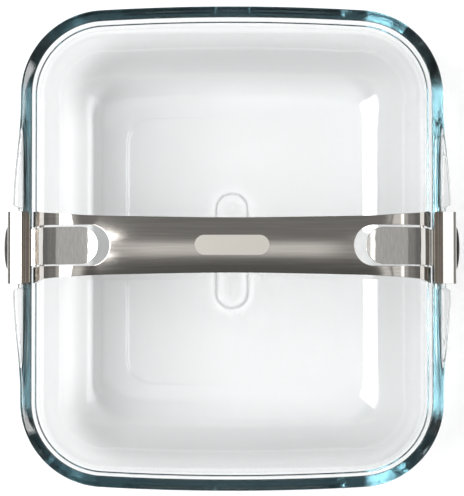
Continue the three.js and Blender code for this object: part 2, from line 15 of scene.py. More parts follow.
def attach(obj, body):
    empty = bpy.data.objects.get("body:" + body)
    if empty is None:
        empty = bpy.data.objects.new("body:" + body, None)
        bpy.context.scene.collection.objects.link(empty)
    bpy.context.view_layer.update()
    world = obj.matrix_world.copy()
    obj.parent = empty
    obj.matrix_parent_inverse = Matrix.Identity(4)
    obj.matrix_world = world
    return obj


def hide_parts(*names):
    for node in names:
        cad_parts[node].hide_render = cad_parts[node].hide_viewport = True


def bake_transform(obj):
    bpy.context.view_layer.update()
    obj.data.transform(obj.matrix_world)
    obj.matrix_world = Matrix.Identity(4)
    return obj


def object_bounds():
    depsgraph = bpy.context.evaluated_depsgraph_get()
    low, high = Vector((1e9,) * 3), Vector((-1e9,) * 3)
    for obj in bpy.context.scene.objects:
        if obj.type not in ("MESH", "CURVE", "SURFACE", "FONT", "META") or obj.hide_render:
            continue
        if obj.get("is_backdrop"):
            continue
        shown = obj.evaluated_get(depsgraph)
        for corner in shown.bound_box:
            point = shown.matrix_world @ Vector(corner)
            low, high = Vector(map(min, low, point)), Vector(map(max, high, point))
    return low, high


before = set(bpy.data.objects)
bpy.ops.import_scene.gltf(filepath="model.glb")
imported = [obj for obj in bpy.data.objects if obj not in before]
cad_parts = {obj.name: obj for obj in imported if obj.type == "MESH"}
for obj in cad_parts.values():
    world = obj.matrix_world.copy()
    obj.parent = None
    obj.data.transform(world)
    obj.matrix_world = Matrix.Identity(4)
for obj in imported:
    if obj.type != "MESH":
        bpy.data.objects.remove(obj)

cad_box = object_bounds()

MM = 0.001
NEAR_ZERO = 1e-6
WHITE = (1, 1, 1, 1)

# Glass dish, as in the solids
RIM_LENGTH = 251
RIM_WIDTH = 219
CORNER_RADIUS = 44
FLOOR_CORNER = 17
END_BOW = 1.9
DISH_HEIGHT = 60
WALL_THICKNESS = 4.2
WALL_DRAFT = radians(4.3)
FLOOR_THICKNESS = 5.5
FLOOR_FILLET = 38
FOOT_WIDTH = 6
FOOT_HEIGHT = 0.6
BEAD_WIDTH = 6.4
BEAD_DEPTH = 5.6
BEAD_ROUND = 0.8
BEAD_EDGE_INSET = 0.3
UNDERCUT_SLOPE = radians(35)
OVERHANG = 0.9
LEDGE_WIDTH = 0.6
LEDGE_DROP = 10
LEDGE_ROUND = 0.25
EAR_REACH = 3.9
EAR_LENGTH = 152
EAR_LIFT = 0.15
NOTCH_REACH = 1.3
NOTCH_CORNER = 1.6
NOTCH_CLEARANCE = 1.9
MARK_LENGTH = 62
MARK_WIDTH = 17
MARK_LINE = 1.2
MARK_HEIGHT = 0.35

# Handle, as in the solids
BOW_SHEET = 1.4
BOW_RISE = 53
BOW_END_SLOPE = radians(10)
BOW_CORNER = 17
BOW_CROWN = 1.8
BOW_WIDTH_MIDDLE = 27.4
BOW_WIDTH_SHOULDER = 29.6
BOW_WIDTH_FOOT = 36.8
BOW_FLARE_START = 60
LEG_LEAN = radians(11)
LEG_INSET = 7.4
LEG_FOOT = 2.4
PIN_RADIUS = 1.25
PIN_CLEARANCE = 0.1
PIN_ABOVE_RIM = 4.4
PIN_CHAMFER = 0.3
LEG_TO_PIN = 4.4
BOW_LUG_WIDTH = 31
LUG_RADIUS = 2.7
LUG_SEAT = 0.4
CLIP_LUG_SPACING = 15.2
CLIP_SHEET = 1.2
TONGUE_WIDTH = 18.8
TONGUE_LEG = 19.4
TONGUE_CORNER = 19
TONGUE_FLAT = 15.5
TONGUE_SLOPE = radians(24)
TONGUE_TIP_RADIUS = 27
TONGUE_TIP_TURN = radians(15)
SLOT_SIDE_GAP = 0.8
SLOT_TIP_GAP = 6
CLIP_WIDTH = 37.2
FOLD_RADIUS = 0.8
SHELF_LENGTH = 5.2
SHELF_EDGE_GAP = 1
BROW_RADIUS = 2.5
BROW_TURN = radians(16)
BROW_LENGTH = 5.3
SHOULDER_RADIUS = 2.6
OUTER_WALL = 12.2
HOOK_RADIUS = 2.8
HOOK_TURN = radians(163)
LIP_LENGTH = 5.5
PAD_THICKNESS = 1.3
PAD_WIDTH = 4.6
PAD_LENGTH = 34
PAD_ROUND = 1.2
SEAT_GAP = 0.3
BUMPER_LENGTH = 22
BUMPER_HEIGHT = 9.4
BUMPER_DOME = 1.8
BUMPER_NECK = 10
BUMPER_COLLAR = 15
BUMPER_COLLAR_THICKNESS = 1
WIRE_RADIUS = 0.45
SPRING_TURNS = 6
SPRING_LENGTH = 9
SPRING_PIN_GAP = 0.35
SPRING_LEG = 9

# Places that several pieces share, at the +X end
PIN_HEIGHT = DISH_HEIGHT + PIN_ABOVE_RIM
PIN_X = RIM_WIDTH / 2 - LEG_INSET - LEG_TO_PIN * cos(LEG_LEAN)
LEG_X = PIN_X + LEG_TO_PIN * cos(LEG_LEAN)
LEG_HEIGHT = PIN_HEIGHT + LEG_TO_PIN * sin(LEG_LEAN)
SHELF_TOP = DISH_HEIGHT + PAD_THICKNESS + 2 * SEAT_GAP + CLIP_SHEET

# Finer forms than those of the solids: round edges, the rim's sloping top and the bow's fading crown
FOOT_SLANT = 1
FOOT_MARGIN = 1.5
FOOT_ROUND = 0.7
UNDERCUT_ROUND = 0.8
RIM_LOW_ROUND = 0.6
RIM_SIDE_ROUND = 1.2
RIM_ROUND = 1.5
RIM_FALL = 0.6
END_FALL = 1.5
END_FALL_TURN = radians(50)
EAR_TOP_SHARE = 0.9
SHEET_EDGE = 0.14
CORNER_EDGE = 1.3
PAD_EDGE = 0.4
CROWN_FADE = (68, 81)

# Fineness of the meshes: counts, steps in millimetres, shares of a rounding or of a line's half width
MERGE_DISTANCE = 1e-4
NOTCH_POINTS = 14
NOTCH_CORNER_POINTS = 8
SIDE_POINTS = 44
CORNER_POINTS = 31
END_POINTS = 60
FILLET_STEPS = 24
FLOOR_RINGS = (2, 5, 9)
MARK_LOOPS = 17
MARK_LOOPS_REACH = 1.6
EDGE_LOOPS = (0, 0.15, 0.5, 1, 1.7)
EDGE_CLEARANCE = 2.4
LEAST_CORNER_COSINE = 0.5
SHEET_LINES_REACH = 18
SHEET_LINE_STEP = 1.5
BOW_ARCH_LINES = 30
BOW_END_LINES = 56
CLIP_LINE_STEP = 0.9
LEAST_STEP = 0.02
CORNER_MARGIN = 1.2
LUG_ARC_STEPS = 24
LUG_SIDE_STEPS = 8
BORE_POINTS = 32
ROUND_END_STEPS = 20
PIN_SEGMENTS = 40
PIN_EDGE_STEPS = 6
BUMPER_SEGMENTS = 72
BUMPER_DOME_STEPS = 16
PAD_CORNER_STEPS = 8
PAD_LINES = 40
WIRE_SIDES = 14
WIRE_STEPS_PER_TURN = 28
WIRE_END_POINTS = 4
WIRE_LEG_STEPS = 6

# Surfaces: colours, textures in repeats per metre, relief in metres, sizes of marked areas in millimetres
GLASS_TINT = (0.13, 0.4, 0.455, 1)
GLASS_DENSITY = 8.5
GLASS_STREAKS = (600, 1.5, 1)
GLASS_STREAK_SHARE = 0.65
GLASS_WAVES = (25, 25, 25)
GLASS_WAVE_DEPTH = 0.00004
GLASS_SMEARS = (18, 18, 18)
GLASS_SMEAR_RANGE = (0.5, 0.8)
GLASS_ROUGHNESS = 0.012
GLASS_INDEX = 1.474
NOISE_ROUGHNESS = 0.55
TONE_RANGE = (0.3, 0.7)
BRUSH_ANISOTROPY = 0.85
BRUSH_QUARTER_TURN = 0.25
BRUSH_BROAD_SHARE = 0.4
BRUSH_FINE = (40, 3500, 1)
BRUSH_BROAD = (14, 700, 1)
BRUSH_CLOUD = (25, 60, 1)
BRUSH_DARK = (0.53, 0.5, 0.46, 1)
BRUSH_LIGHT = (0.66, 0.63, 0.585, 1)
BRUSH_ROUGHNESS = (0.08, 0.18)
BRUSH_DEPTH = 0.000004
LOZENGE_LENGTH = 37.6
LOZENGE_WIDTH = 10.4
LOZENGE_EDGE = 0.5
LOZENGE_COLOUR = (0.72, 0.69, 0.63, 1)
LOZENGE_ROUGHNESS = 0.25
LOZENGE_MATT = 0.8
POLISH_SCRATCHES = (2600, 160, 1)
POLISH_SCRATCH_SHARE = 0.05
POLISH_WAVES = (140, 110, 1)
POLISH_WAVE_DEPTH = 0.00008
POLISH_DARK = (0.58, 0.56, 0.53, 1)
POLISH_LIGHT = (0.68, 0.66, 0.63, 1)
POLISH_ROUGHNESS = (0.05, 0.15)
# Painted dark reflection on the clip's shelf, streaked with lighter lines
SHELF_REFLECTION_LINES = (900, 4, 1)
SHELF_REFLECTION_LINE_RANGE = (0.5, 0.68)
SHELF_PAINTED_DARK_REFLECTION = (0.15, 0.13, 0.11, 1)
SHELF_PAINTED_LIGHT_REFLECTION = (0.4, 0.36, 0.31, 1)
SHELF_FADE = 0.5
WIRE_MARKS = (900, 900, 900)
WIRE_DARK = (0.4, 0.39, 0.37, 1)
WIRE_LIGHT = (0.54, 0.53, 0.5, 1)
WIRE_ROUGHNESS = (0.2, 0.36)
WIRE_DEPTH = 0.00001
SILICONE_GRAIN = (2400, 2400, 2400)
SILICONE_DUST = (160, 160, 160)
SILICONE_DUST_RANGE = (0.45, 0.75)
SILICONE_DARK = (0.05, 0.048, 0.044, 1)
SILICONE_DUSTY = (0.085, 0.08, 0.073, 1)
SILICONE_ROUGHNESS = (0.5, 0.72)
SILICONE_DEPTH = 0.00002

# Floor: sizes in millimetres, places of the glow with its painted shadow and light in metres, strengths
# against white
FLOOR_SIZE = 320
FLOOR_GAP = 0.2
FLOOR_WHITE = 0.5
FLOOR_ROUGHNESS = 0.9
# Painted shadow of the dish under its base: a lower glow, rising from left to right
FLOOR_PAINTED_SHADOW_GLOW = (0.34, 0.63)
FLOOR_PAINTED_SHADOW_RISE = (-0.09, 0.01)
# Painted shade beside the base, and a painted band of light by the left wall placed by the three ranges
# below
FLOOR_PAINTED_SHADE_AND_LIGHT_BESIDE = (0.48, 0.74)
FLOOR_PAINTED_LIGHT_LEFT = (-0.098, -0.088)
FLOOR_PAINTED_LIGHT_LEFT_END = (-0.06, -0.074)
FLOOR_PAINTED_LIGHT_ENDS = (0.1, 0.06)
FLOOR_GLOW_OUTSIDE = 0.7
FLOOR_GLOW_FADE = 4
BASE_HALF = (78, 100)
BASE_CORNER = 26
BASE_FADE = (3, 16)
# Painted shadow line and painted halo of the base mark on the floor
MARK_SHADOW = 0.3
MARK_SHADOW_WIDTH = 1.7
MARK_PAINTED_HALO = 0.12
MARK_PAINTED_HALO_WIDTH = 5.5

# Studio: strengths against white, and ranges of a direction's parts, elevation or slopes
ROOM_FRONT = 0.12
ROOM_BACK = 0.25
ROOM_DEPTH = (-0.5, 0.5)
ROOM_HORIZON = (-0.02, 0.1)
ROOM_RISE = (radians(30), radians(65))
ROOM_LOW = 0.4
ROOM_CLUTTER = (0.4, 1.6)
ROOM_CLUTTER_RANGE = (0.35, 0.65)
ROOM_CLUTTER_SCALE = (5, 5, 5)
STRIP_CENTRE = -0.05
STRIP_HALF_WIDTH = (0.18, 0.06)
STRIP_HALF_LENGTH = (0.38, 0.2)
STRIP_RISE = (0.2, 0.4)
STRIP_STRENGTH = 0.75
LEAST_RISE = 0.05

# Panels: azimuth, half width, lowest and highest elevation in degrees, and strength
PANEL_EDGE = 2
PANELS = (
    (177, 32, 48, 70, 12.0),
    (180, 40, 33, 46, 0.45),
    (180, 40, -20, 33, 0.2),
    (0, 30, 58, 70, 0.7),
    (0, 30, 48, 58, 2.0),
    (0, 40, 33, 46, 0.45),
    (0, 40, -20, 33, 0.2),
)

# Camera, and how many times light may bounce
CAMERA_DISTANCE = 1200
CAMERA_ELEVATION = radians(88.4)
CAMERA_AIM = (0, -0.1, DISH_HEIGHT)
CAMERA_SENSOR = 36
FRAME_HEIGHT = 496
MM_PER_PIXEL = 0.5165
GLASS_BOUNCES = 40
GLOSSY_BOUNCES = 16


def smoothstep(value, low, high):
    share = min(max((value - low) / (high - low), 0), 1)
    return share * share * (3 - 2 * share)


def lerp(a, b, share):
    return a + (b - a) * share


# Meshes

def mesh_piece(name, points, faces, uvs):
    """A smooth mesh from points in millimetres, with its faces turned outwards."""
    mesh = bpy.data.meshes.new(name)
    mesh.from_pydata([tuple(MM * c for c in p) for p in points], [], faces)
    layer = mesh.uv_layers.new(name="UVMap")
    for loop in mesh.loops:
        layer.data[loop.index].uv = uvs[loop.vertex_index]
    work = bmesh.new()
    work.from_mesh(mesh)
    bmesh.ops.remove_doubles(work, verts=work.verts, dist=MERGE_DISTANCE * MM)
    bmesh.ops.recalc_face_normals(work, faces=work.faces)
    work.to_mesh(mesh)
    work.free()
    mesh.polygons.foreach_set("use_smooth", [True] * len(mesh.polygons))
    piece = bpy.data.objects.new(name, mesh)
    bpy.context.scene.collection.objects.link(piece)
    return piece


def half_turned(points):
    """The same points at the other end of the handle."""
    return [(-x, -y, z) for x, y, z in points]


def joined_parts(parts):
    """Several lists of points and faces as one."""
    points, faces, uvs = [], [], []
    for part_points, part_faces, part_uvs in parts:
        start = len(points)
        points += part_points
        faces += [tuple(i + start for i in face) for face in part_faces]
        uvs += part_uvs
    return points, faces, uvs


# Paths and sheets

class SheetPath:
    """A path in the XZ plane made of lines and arcs, which turn left where the angle is positive."""

    def __init__(self, heading):
        self.stations = [(0.0, 0.0, heading)]
        self.marks = {}

    def line(self, length, steps=1):
        x, z, heading = self.stations[-1]
        for i in range(1, steps + 1):
            along = length * i / steps
            self.stations.append((x + along * cos(heading), z + along * sin(heading), heading))
        return self

    def arc(self, radius, turn, steps):
        side = 1 if turn > 0 else -1
        x, z, heading = self.stations[-1]
        centre_x = x - side * radius * sin(heading)
        centre_z = z + side * radius * cos(heading)
        for i in range(1, steps + 1):
            angle = heading + turn * i / steps
            at_x = centre_x + side * radius * sin(angle)
            at_z = centre_z - side * radius * cos(angle)
            self.stations.append((at_x, at_z, angle))
        return self

    def mark(self, name):
        self.marks[name] = len(self.stations) - 1
        return self

    def place(self, index, x, z):
        shift_x = x - self.stations[index][0]
        shift_z = z - self.stations[index][1]
        self.stations = [(a + shift_x, b + shift_z, heading) for a, b, heading in self.stations]
        return self


class Run:
    """A path by its length: where it is and how it heads, at a distance from its start."""

    def __init__(self, stations):
        self.x, self.z, self.heading = (np.array(column) for column in zip(*stations))
        steps = np.hypot(np.diff(self.x), np.diff(self.z))
        self.length = np.concatenate([[0], np.cumsum(steps)])

    def at(self, along):
        return (
            np.interp(along, self.length, self.x),
            np.interp(along, self.length, self.z),
            np.interp(along, self.length, self.heading),
        )

    def along_at_x(self, x, until):
        """The distance at which the path passes a place on the X axis, in its part of rising X."""
        return float(np.interp(x, self.x[:until + 1], self.length[:until + 1]))


def turned_loop(loop):
    """The loop in the order that has the sheet on its left."""
    area = sum(a[0] * b[1] - b[0] * a[1] for a, b in zip(loop, loop[1:] + loop[:1]))
    return loop if area > 0 else loop[::-1]


def inward(loop, distance):
    """The loop moved to its left by a distance."""
    points = np.array(loop)
    before = points - np.roll(points, 1, 0)
    after = np.roll(points, -1, 0) - points
    before /= np.linalg.norm(before, axis=1)[:, None]
    after /= np.linalg.norm(after, axis=1)[:, None]
    tangent = before + after
    tangent /= np.linalg.norm(tangent, axis=1)[:, None]
    spread = np.maximum((tangent * after).sum(1), LEAST_CORNER_COSINE)
    left = np.stack([-tangent[:, 1], tangent[:, 0]], 1)
    return [tuple(p) for p in points + left * (distance / spread)[:, None]]


def within(points, loops):
    """Which points lie inside an odd number of the loops."""
    found = np.zeros(len(points), bool)
    for loop in loops:
        ring = np.array(loop)
        following = np.roll(ring, -1, 0)
        for (ax, ay), (bx, by) in zip(ring, following):
            crosses = (ay > points[:, 1]) != (by > points[:, 1])
            if ay != by:
                at_x = ax + (points[:, 1] - ay) * (bx - ax) / (by - ay)
                found ^= crosses & (points[:, 0] < at_x)
    return found


def rounded_corner(before, corner, after, radius, steps=6):
    """Points of a curve that cuts a corner off, at the same distance along both of its sides."""
    corner = Vector(corner)
    start = corner + (Vector(before) - corner).normalized() * radius
    end = corner + (Vector(after) - corner).normalized() * radius
    curve = []
    for i in range(steps + 1):
        t = i / steps
        curve.append(tuple(start * (1 - t) ** 2 + corner * 2 * t * (1 - t) + end * t * t))
    return curve


def sheet_part(outer, holes, lines_u, lines_v, place, thickness, edge):
    """A sheet with rounded edges: an outline with holes, filled along lines and set in space by place."""
    loops = [turned_loop(outer)] + [turned_loop(hole)[::-1] for hole in holes]
    flat, drops, edges, rims = [], [], [], []
    for loop in loops:
        for share in EDGE_LOOPS:
            distance = share * edge
            short = max(edge - distance, 0)
            start = len(flat)
            flat += inward(loop, distance)
            drops += [edge - sqrt(edge * edge - short * short)] * len(loop)
            edges += [(start + i, start + (i + 1) % len(loop)) for i in range(len(loop))]
            if share == 0:
                rims.append(list(range(start, start + len(loop))))
    border = np.array([p for loop in loops for p in loop])
    grid = np.array([(u, v) for u in lines_u for v in lines_v], float).reshape(-1, 2)
    grid = grid[within(grid, loops)]
    far = [np.hypot(*(border - p).T).min() > EDGE_CLEARANCE * edge for p in grid]
    grid = grid[np.array(far, bool)]
    flat += [tuple(p) for p in grid]
    drops += [0] * len(grid)
    made = delaunay_2d_cdt([Vector(p) for p in flat], edges, [], 0, NEAR_ZERO)
    spots, triangles, sources = made[0], made[2], made[3]
    centres = np.array([np.mean([spots[i] for i in t], axis=0) for t in triangles])
    triangles = [t for t, keep in zip(triangles, within(centres, loops)) if keep]
    new_index = {old: i for i, olds in enumerate(sources) for old in olds}
    count = len(spots)
    points, uvs = [], []
    for upper in (True, False):
        for spot, olds in zip(spots, sources):
            drop = drops[olds[0]] if olds else 0
            points.append(place(spot[0], spot[1], drop if upper else thickness - drop))
            uvs.append((spot[0] * MM, spot[1] * MM))
    faces = [tuple(t) for t in triangles]
    faces += [tuple(i + count for i in reversed(t)) for t in triangles]
    for rim in rims:
        ring = [new_index[i] for i in rim]
        for a, b in zip(ring, ring[1:] + ring[:1]):
            faces.append((b, a, a + count, b + count))
    return points, faces, uvs


def lug_part(leg_sheet, y_low, y_high):
    """A lug beside the pin, square to it, with one end seated in the leg that carries it."""
    seat = LEG_TO_PIN - leg_sheet + LUG_SEAT
    turn = [pi / 2 + pi * i / LUG_ARC_STEPS for i in range(LUG_ARC_STEPS + 1)]
    side = [seat * i / LUG_SIDE_STEPS for i in range(1, LUG_SIDE_STEPS)]
    outer = [(LUG_RADIUS * cos(a), LUG_RADIUS * sin(a)) for a in turn]
    outer += [(x, -LUG_RADIUS) for x in side]
    outer += [(seat, LUG_RADIUS * (2 * i / LUG_SIDE_STEPS - 1)) for i in range(LUG_SIDE_STEPS + 1)]
    outer += [(x, LUG_RADIUS) for x in reversed(side)]
    bore = PIN_RADIUS + PIN_CLEARANCE
    around = [2 * pi * i / BORE_POINTS for i in range(BORE_POINTS)]
    hole = [(bore * cos(a), bore * sin(a)) for a in around]

    def place(u, v, depth):
        x = u * cos(LEG_LEAN) - v * sin(LEG_LEAN)
        z = u * sin(LEG_LEAN) + v * cos(LEG_LEAN)
        return PIN_X + x, y_high - depth, PIN_HEIGHT + z

    return sheet_part(outer, [hole], (), (0,), place, y_high - y_low, SHEET_EDGE / 2)


def lug_pair(leg_sheet, width):
    outer = width / 2
    inner = outer - leg_sheet
    return [lug_part(leg_sheet, inner, outer), lug_part(leg_sheet, -outer, -inner)]


# Glass dish

LEDGE_HEIGHT = DISH_HEIGHT - LEDGE_DROP
LEDGE_TOP_INSET = BEAD_WIDTH + LEDGE_DROP * tan(WALL_DRAFT)
LEDGE_INSET = LEDGE_TOP_INSET + LEDGE_WIDTH


def inner_wall_inset(height):
    return LEDGE_INSET + (LEDGE_HEIGHT - height) * tan(WALL_DRAFT)


def outer_wall_inset(height):
    return inner_wall_inset(height) - WALL_THICKNESS / cos(WALL_DRAFT)


NOTCH_END = CLIP_WIDTH / 2 + NOTCH_CLEARANCE
NOTCH_SIDE = NOTCH_END + NOTCH_CORNER
END_HALF = RIM_WIDTH / 2 - CORNER_RADIUS
END_TURN = 2 * atan(END_BOW / END_HALF)
END_RADIUS = END_HALF / sin(END_TURN) + CORNER_RADIUS
END_CENTRE = RIM_LENGTH / 2 - END_RADIUS
FLOOR_INSET = inner_wall_inset(FLOOR_THICKNESS + FLOOR_FILLET) + FLOOR_FILLET / cos(WALL_DRAFT)
CORNER_SLACK = (FLOOR_CORNER + FLOOR_INSET - CORNER_RADIUS) / (FLOOR_INSET - LEDGE_INSET)


def ear_reach(y):
    """How far an ear stands out from the rim, at a place along the side."""
    along = abs(y)
    ear = EAR_REACH * smoothstep(EAR_LENGTH / 2 - along, 0, EAR_LENGTH / 2 - NOTCH_SIDE)
    return lerp(NOTCH_REACH, ear, smoothstep(along, NOTCH_END, NOTCH_SIDE))


def corner_radius(inset):
    """The radius of a ring's corners, which shrinks more slowly below the ledge and so stays round."""
    return CORNER_RADIUS - inset + CORNER_SLACK * max(inset - LEDGE_INSET, 0)


def dish_ring(inset, height, ear_out, ear_up, spread, fall):
    """One ring of the dish's skin: a rectangle with round corners, bowed ends and the two ears.

    The spread is how much farther out the ring lies away from the ears, and the fall how much lower it
    lies at the ends. Where an ear reaches out farther than the notch, it rises no more.
    """
    radius = corner_radius(inset)
    half_width = RIM_WIDTH / 2 - inset
    end_half = half_width - radius
    end_reach = END_RADIUS - inset - radius
    end_turn = asin(end_half / end_reach)
    side_half = END_CENTRE + end_reach * cos(end_turn)
    half_side = list(np.linspace(0, NOTCH_END, NOTCH_POINTS)[:-1])
    half_side += list(np.linspace(NOTCH_END, NOTCH_SIDE, NOTCH_CORNER_POINTS)[:-1])
    half_side += list(np.linspace(NOTCH_SIDE, side_half, SIDE_POINTS))
    ring = []
    for y in [-y for y in half_side[:0:-1]] + half_side:
        reach = ear_reach(y)
        x = half_width + ear_out * reach + spread * (1 - smoothstep(reach, 0, NOTCH_REACH))
        ring.append((x, y, height + ear_up * min(reach, NOTCH_REACH)))
    corner = []
    for angle in np.linspace(0, pi / 2 - end_turn, CORNER_POINTS)[1:-1]:
        x = end_half + (radius + spread) * cos(angle)
        y = side_half + (radius + spread) * sin(angle)
        corner.append((x, y, height - fall * smoothstep(angle, 0, END_FALL_TURN)))
    ring += corner
    end_radius = END_RADIUS - inset + spread
    for angle in np.linspace(end_turn, -end_turn, END_POINTS):
        ring.append((end_radius * sin(angle), END_CENTRE + end_radius * cos(angle), height - fall))
    ring += [(-x, y, z) for x, y, z in reversed(corner)]
    return ring + half_turned(ring)


def station(inset, height, ear_out=0, ear_up=0, spread=0, fall=0):
    """A point of the dish's section, as the values of its ring."""
    return inset, height, ear_out, ear_up, spread, fall


def fillet_profile(radius, level, wall_inset):
    """Stations of an arc between a level line and the drafted wall, from the level line up."""
    centre_height = level + radius
    centre_inset = wall_inset(centre_height) + radius / cos(WALL_DRAFT)
    angles = np.linspace(0, pi / 2 - WALL_DRAFT, FILLET_STEPS + 1)
    return [station(centre_inset - radius * sin(a), centre_height - radius * cos(a)) for a in angles]


def softened(corners, steps=7):
    """A profile with round corners, each given as a station and the distance at which its curve starts."""
    profile = []
    for i, (corner, reach) in enumerate(corners):
        if reach == 0:
            profile.append(corner)
            continue
        here = np.array(corner)
        ends = []
        for other, _ in (corners[i - 1], corners[i + 1]):
            there = np.array(other)
            span = hypot(there[0] - here[0], there[1] - here[1])
            ends.append(here + (there - here) * min(reach / span, 0.5))
        for t in np.linspace(0, 1, steps + 1):
            profile.append(tuple(ends[0] * (1 - t) ** 2 + here * 2 * t * (1 - t) + ends[1] * t * t))
    return profile


def dish_profile():
    """The section from the recess under the floor, up the outside, over the rim and down to the floor."""
    outer = fillet_profile(FLOOR_FILLET + WALL_THICKNESS, 0, outer_wall_inset)
    inner = fillet_profile(FLOOR_FILLET, FLOOR_THICKNESS, inner_wall_inset)
    foot_inset = outer[0][0] + FOOT_WIDTH
    foot = softened([
        (station(foot_inset + FOOT_SLANT + FOOT_MARGIN, FOOT_HEIGHT), 0),
        (station(foot_inset + FOOT_SLANT, FOOT_HEIGHT), FOOT_ROUND),
        (station(foot_inset, 0), FOOT_ROUND),
        (station(foot_inset - FOOT_MARGIN, 0), 0),
    ])
    edge_low = DISH_HEIGHT - BEAD_DEPTH
    edge_high = DISH_HEIGHT - BEAD_ROUND
    undercut = tan(UNDERCUT_SLOPE)
    under = station(BEAD_EDGE_INSET + OVERHANG, edge_low - OVERHANG * undercut, spread=OVERHANG)
    rim_low = station(BEAD_EDGE_INSET, edge_low, ear_out=1, ear_up=undercut)
    rim_side = station(0, (edge_low + edge_high) / 2, ear_out=1, ear_up=(undercut + EAR_LIFT) / 2)
    rim_edge = station(
        BEAD_EDGE_INSET / 2,
        DISH_HEIGHT - RIM_FALL,
        ear_out=EAR_TOP_SHARE,
        ear_up=EAR_LIFT,
        fall=END_FALL - RIM_FALL,
    )
    bead = softened([
        (outer[-1], 0),
        (under, UNDERCUT_ROUND),
        (rim_low, RIM_LOW_ROUND),
        (rim_side, RIM_SIDE_ROUND),
        (rim_edge, RIM_ROUND),
        (station(BEAD_WIDTH - BEAD_EDGE_INSET, DISH_HEIGHT), BEAD_ROUND),
        (station(LEDGE_TOP_INSET, LEDGE_HEIGHT), LEDGE_ROUND),
        (station(LEDGE_INSET, LEDGE_HEIGHT), LEDGE_ROUND),
        (inner[-1], 0),
    ])
    floor = [station(inner[0][0] + step, FLOOR_THICKNESS) for step in FLOOR_RINGS]
    return foot + outer + bead[1:-1] + inner[::-1] + floor


def stadium(length, width, arc_steps=28, side_steps=30):
    """A loop of two straight sides along Y and two half circles."""
    radius = width / 2
    straight = (length - width) / 2
    arc = [pi * i / arc_steps for i in range(arc_steps + 1)]
    side = [straight * (1 - 2 * i / side_steps) for i in range(1, side_steps)]
    loop = [(radius * cos(a), straight + radius * sin(a)) for a in arc]
    loop += [(-radius, y) for y in side]
    loop += [(-radius * cos(a), -straight - radius * sin(a)) for a in arc]
    return loop + [(radius, -y) for y in side]


def filled(ring, bumps, height):
    """A level fill inside a ring, with loops that stand at other heights."""
    flat = [(x, y) for x, y, z in ring]
    heights = [height] * len(ring)
    edges = [(i, (i + 1) % len(ring)) for i in range(len(ring))]
    for loop, level in bumps:
        start = len(flat)
        flat += loop
        heights += [level] * len(loop)
        edges += [(start + i, start + (i + 1) % len(loop)) for i in range(len(loop))]
    made = delaunay_2d_cdt([Vector(p) for p in flat], edges, [], 1, NEAR_ZERO)
    points = [(p[0], p[1], heights[olds[0]] if olds else height) for p, olds in zip(made[0], made[3])]
    return points, [tuple(f) for f in made[2]]


def glass_dish():
    """The dish, with the distance along its section as its first texture coordinate."""
    profile = dish_profile()
    rings = [dish_ring(*point) for point in profile]
    count = len(rings[0])
    points = [p for ring in rings for p in ring]
    steps = [hypot(b[0] - a[0], b[1] - a[1]) for a, b in zip(profile, profile[1:])]
    section = [0, *np.cumsum(steps)]
    uvs = [(MM * along, MM * p[1]) for along, ring in zip(section, rings) for p in ring]
    faces = []
    for i in range(len(rings) - 1):
        for j in range(count):
            a = i * count + j
            b = i * count + (j + 1) % count
            faces.append((a, b, b + count, a + count))
    bumps = []
    for share in np.linspace(-MARK_LOOPS_REACH, MARK_LOOPS_REACH, MARK_LOOPS):
        offset = share * MARK_LINE / 2
        rise = MARK_HEIGHT * cos(pi / 2 * min(abs(share), 1)) ** 2
        bumps.append((stadium(MARK_LENGTH + 2 * offset, MARK_WIDTH + 2 * offset), FOOT_HEIGHT - rise))
    fills = ((rings[0], bumps, FOOT_HEIGHT, section[0]), (rings[-1], [], FLOOR_THICKNESS, section[-1]))
    for ring, loops, height, along in fills:
        start = len(points)
        fill_points, fill_faces = filled(ring, loops, height)
        points += fill_points
        uvs += [(MM * along, MM * p[1]) for p in fill_points]
        faces += [tuple(i + start for i in face) for face in fill_faces]
    return mesh_piece("dish_glass", points, faces, uvs)


# Handle pieces

def bow_path():
    """Half of the bow's outer face, from its top to the foot of the leg at +X."""
    corner_run = BOW_CORNER * (cos(LEG_LEAN) - sin(BOW_END_SLOPE))
    corner_rise = BOW_CORNER * (cos(BOW_END_SLOPE) - sin(LEG_LEAN))
    arch_rise = tan(BOW_END_SLOPE / 2)
    rise = DISH_HEIGHT + BOW_RISE - LEG_HEIGHT
    leg_rise = rise - corner_rise - (LEG_X - corner_run) * arch_rise
    leg = leg_rise / (cos(LEG_LEAN) - sin(LEG_LEAN) * arch_rise)
    arch_end = LEG_X - leg * sin(LEG_LEAN) - corner_run
    path = SheetPath(0).arc(arch_end / sin(BOW_END_SLOPE), -BOW_END_SLOPE, 60).mark("arch")
    path.arc(BOW_CORNER, BOW_END_SLOPE + LEG_LEAN - pi / 2, 40)
    path.line(leg + LEG_FOOT, 12)
    return path.place(0, 0, DISH_HEIGHT + BOW_RISE)


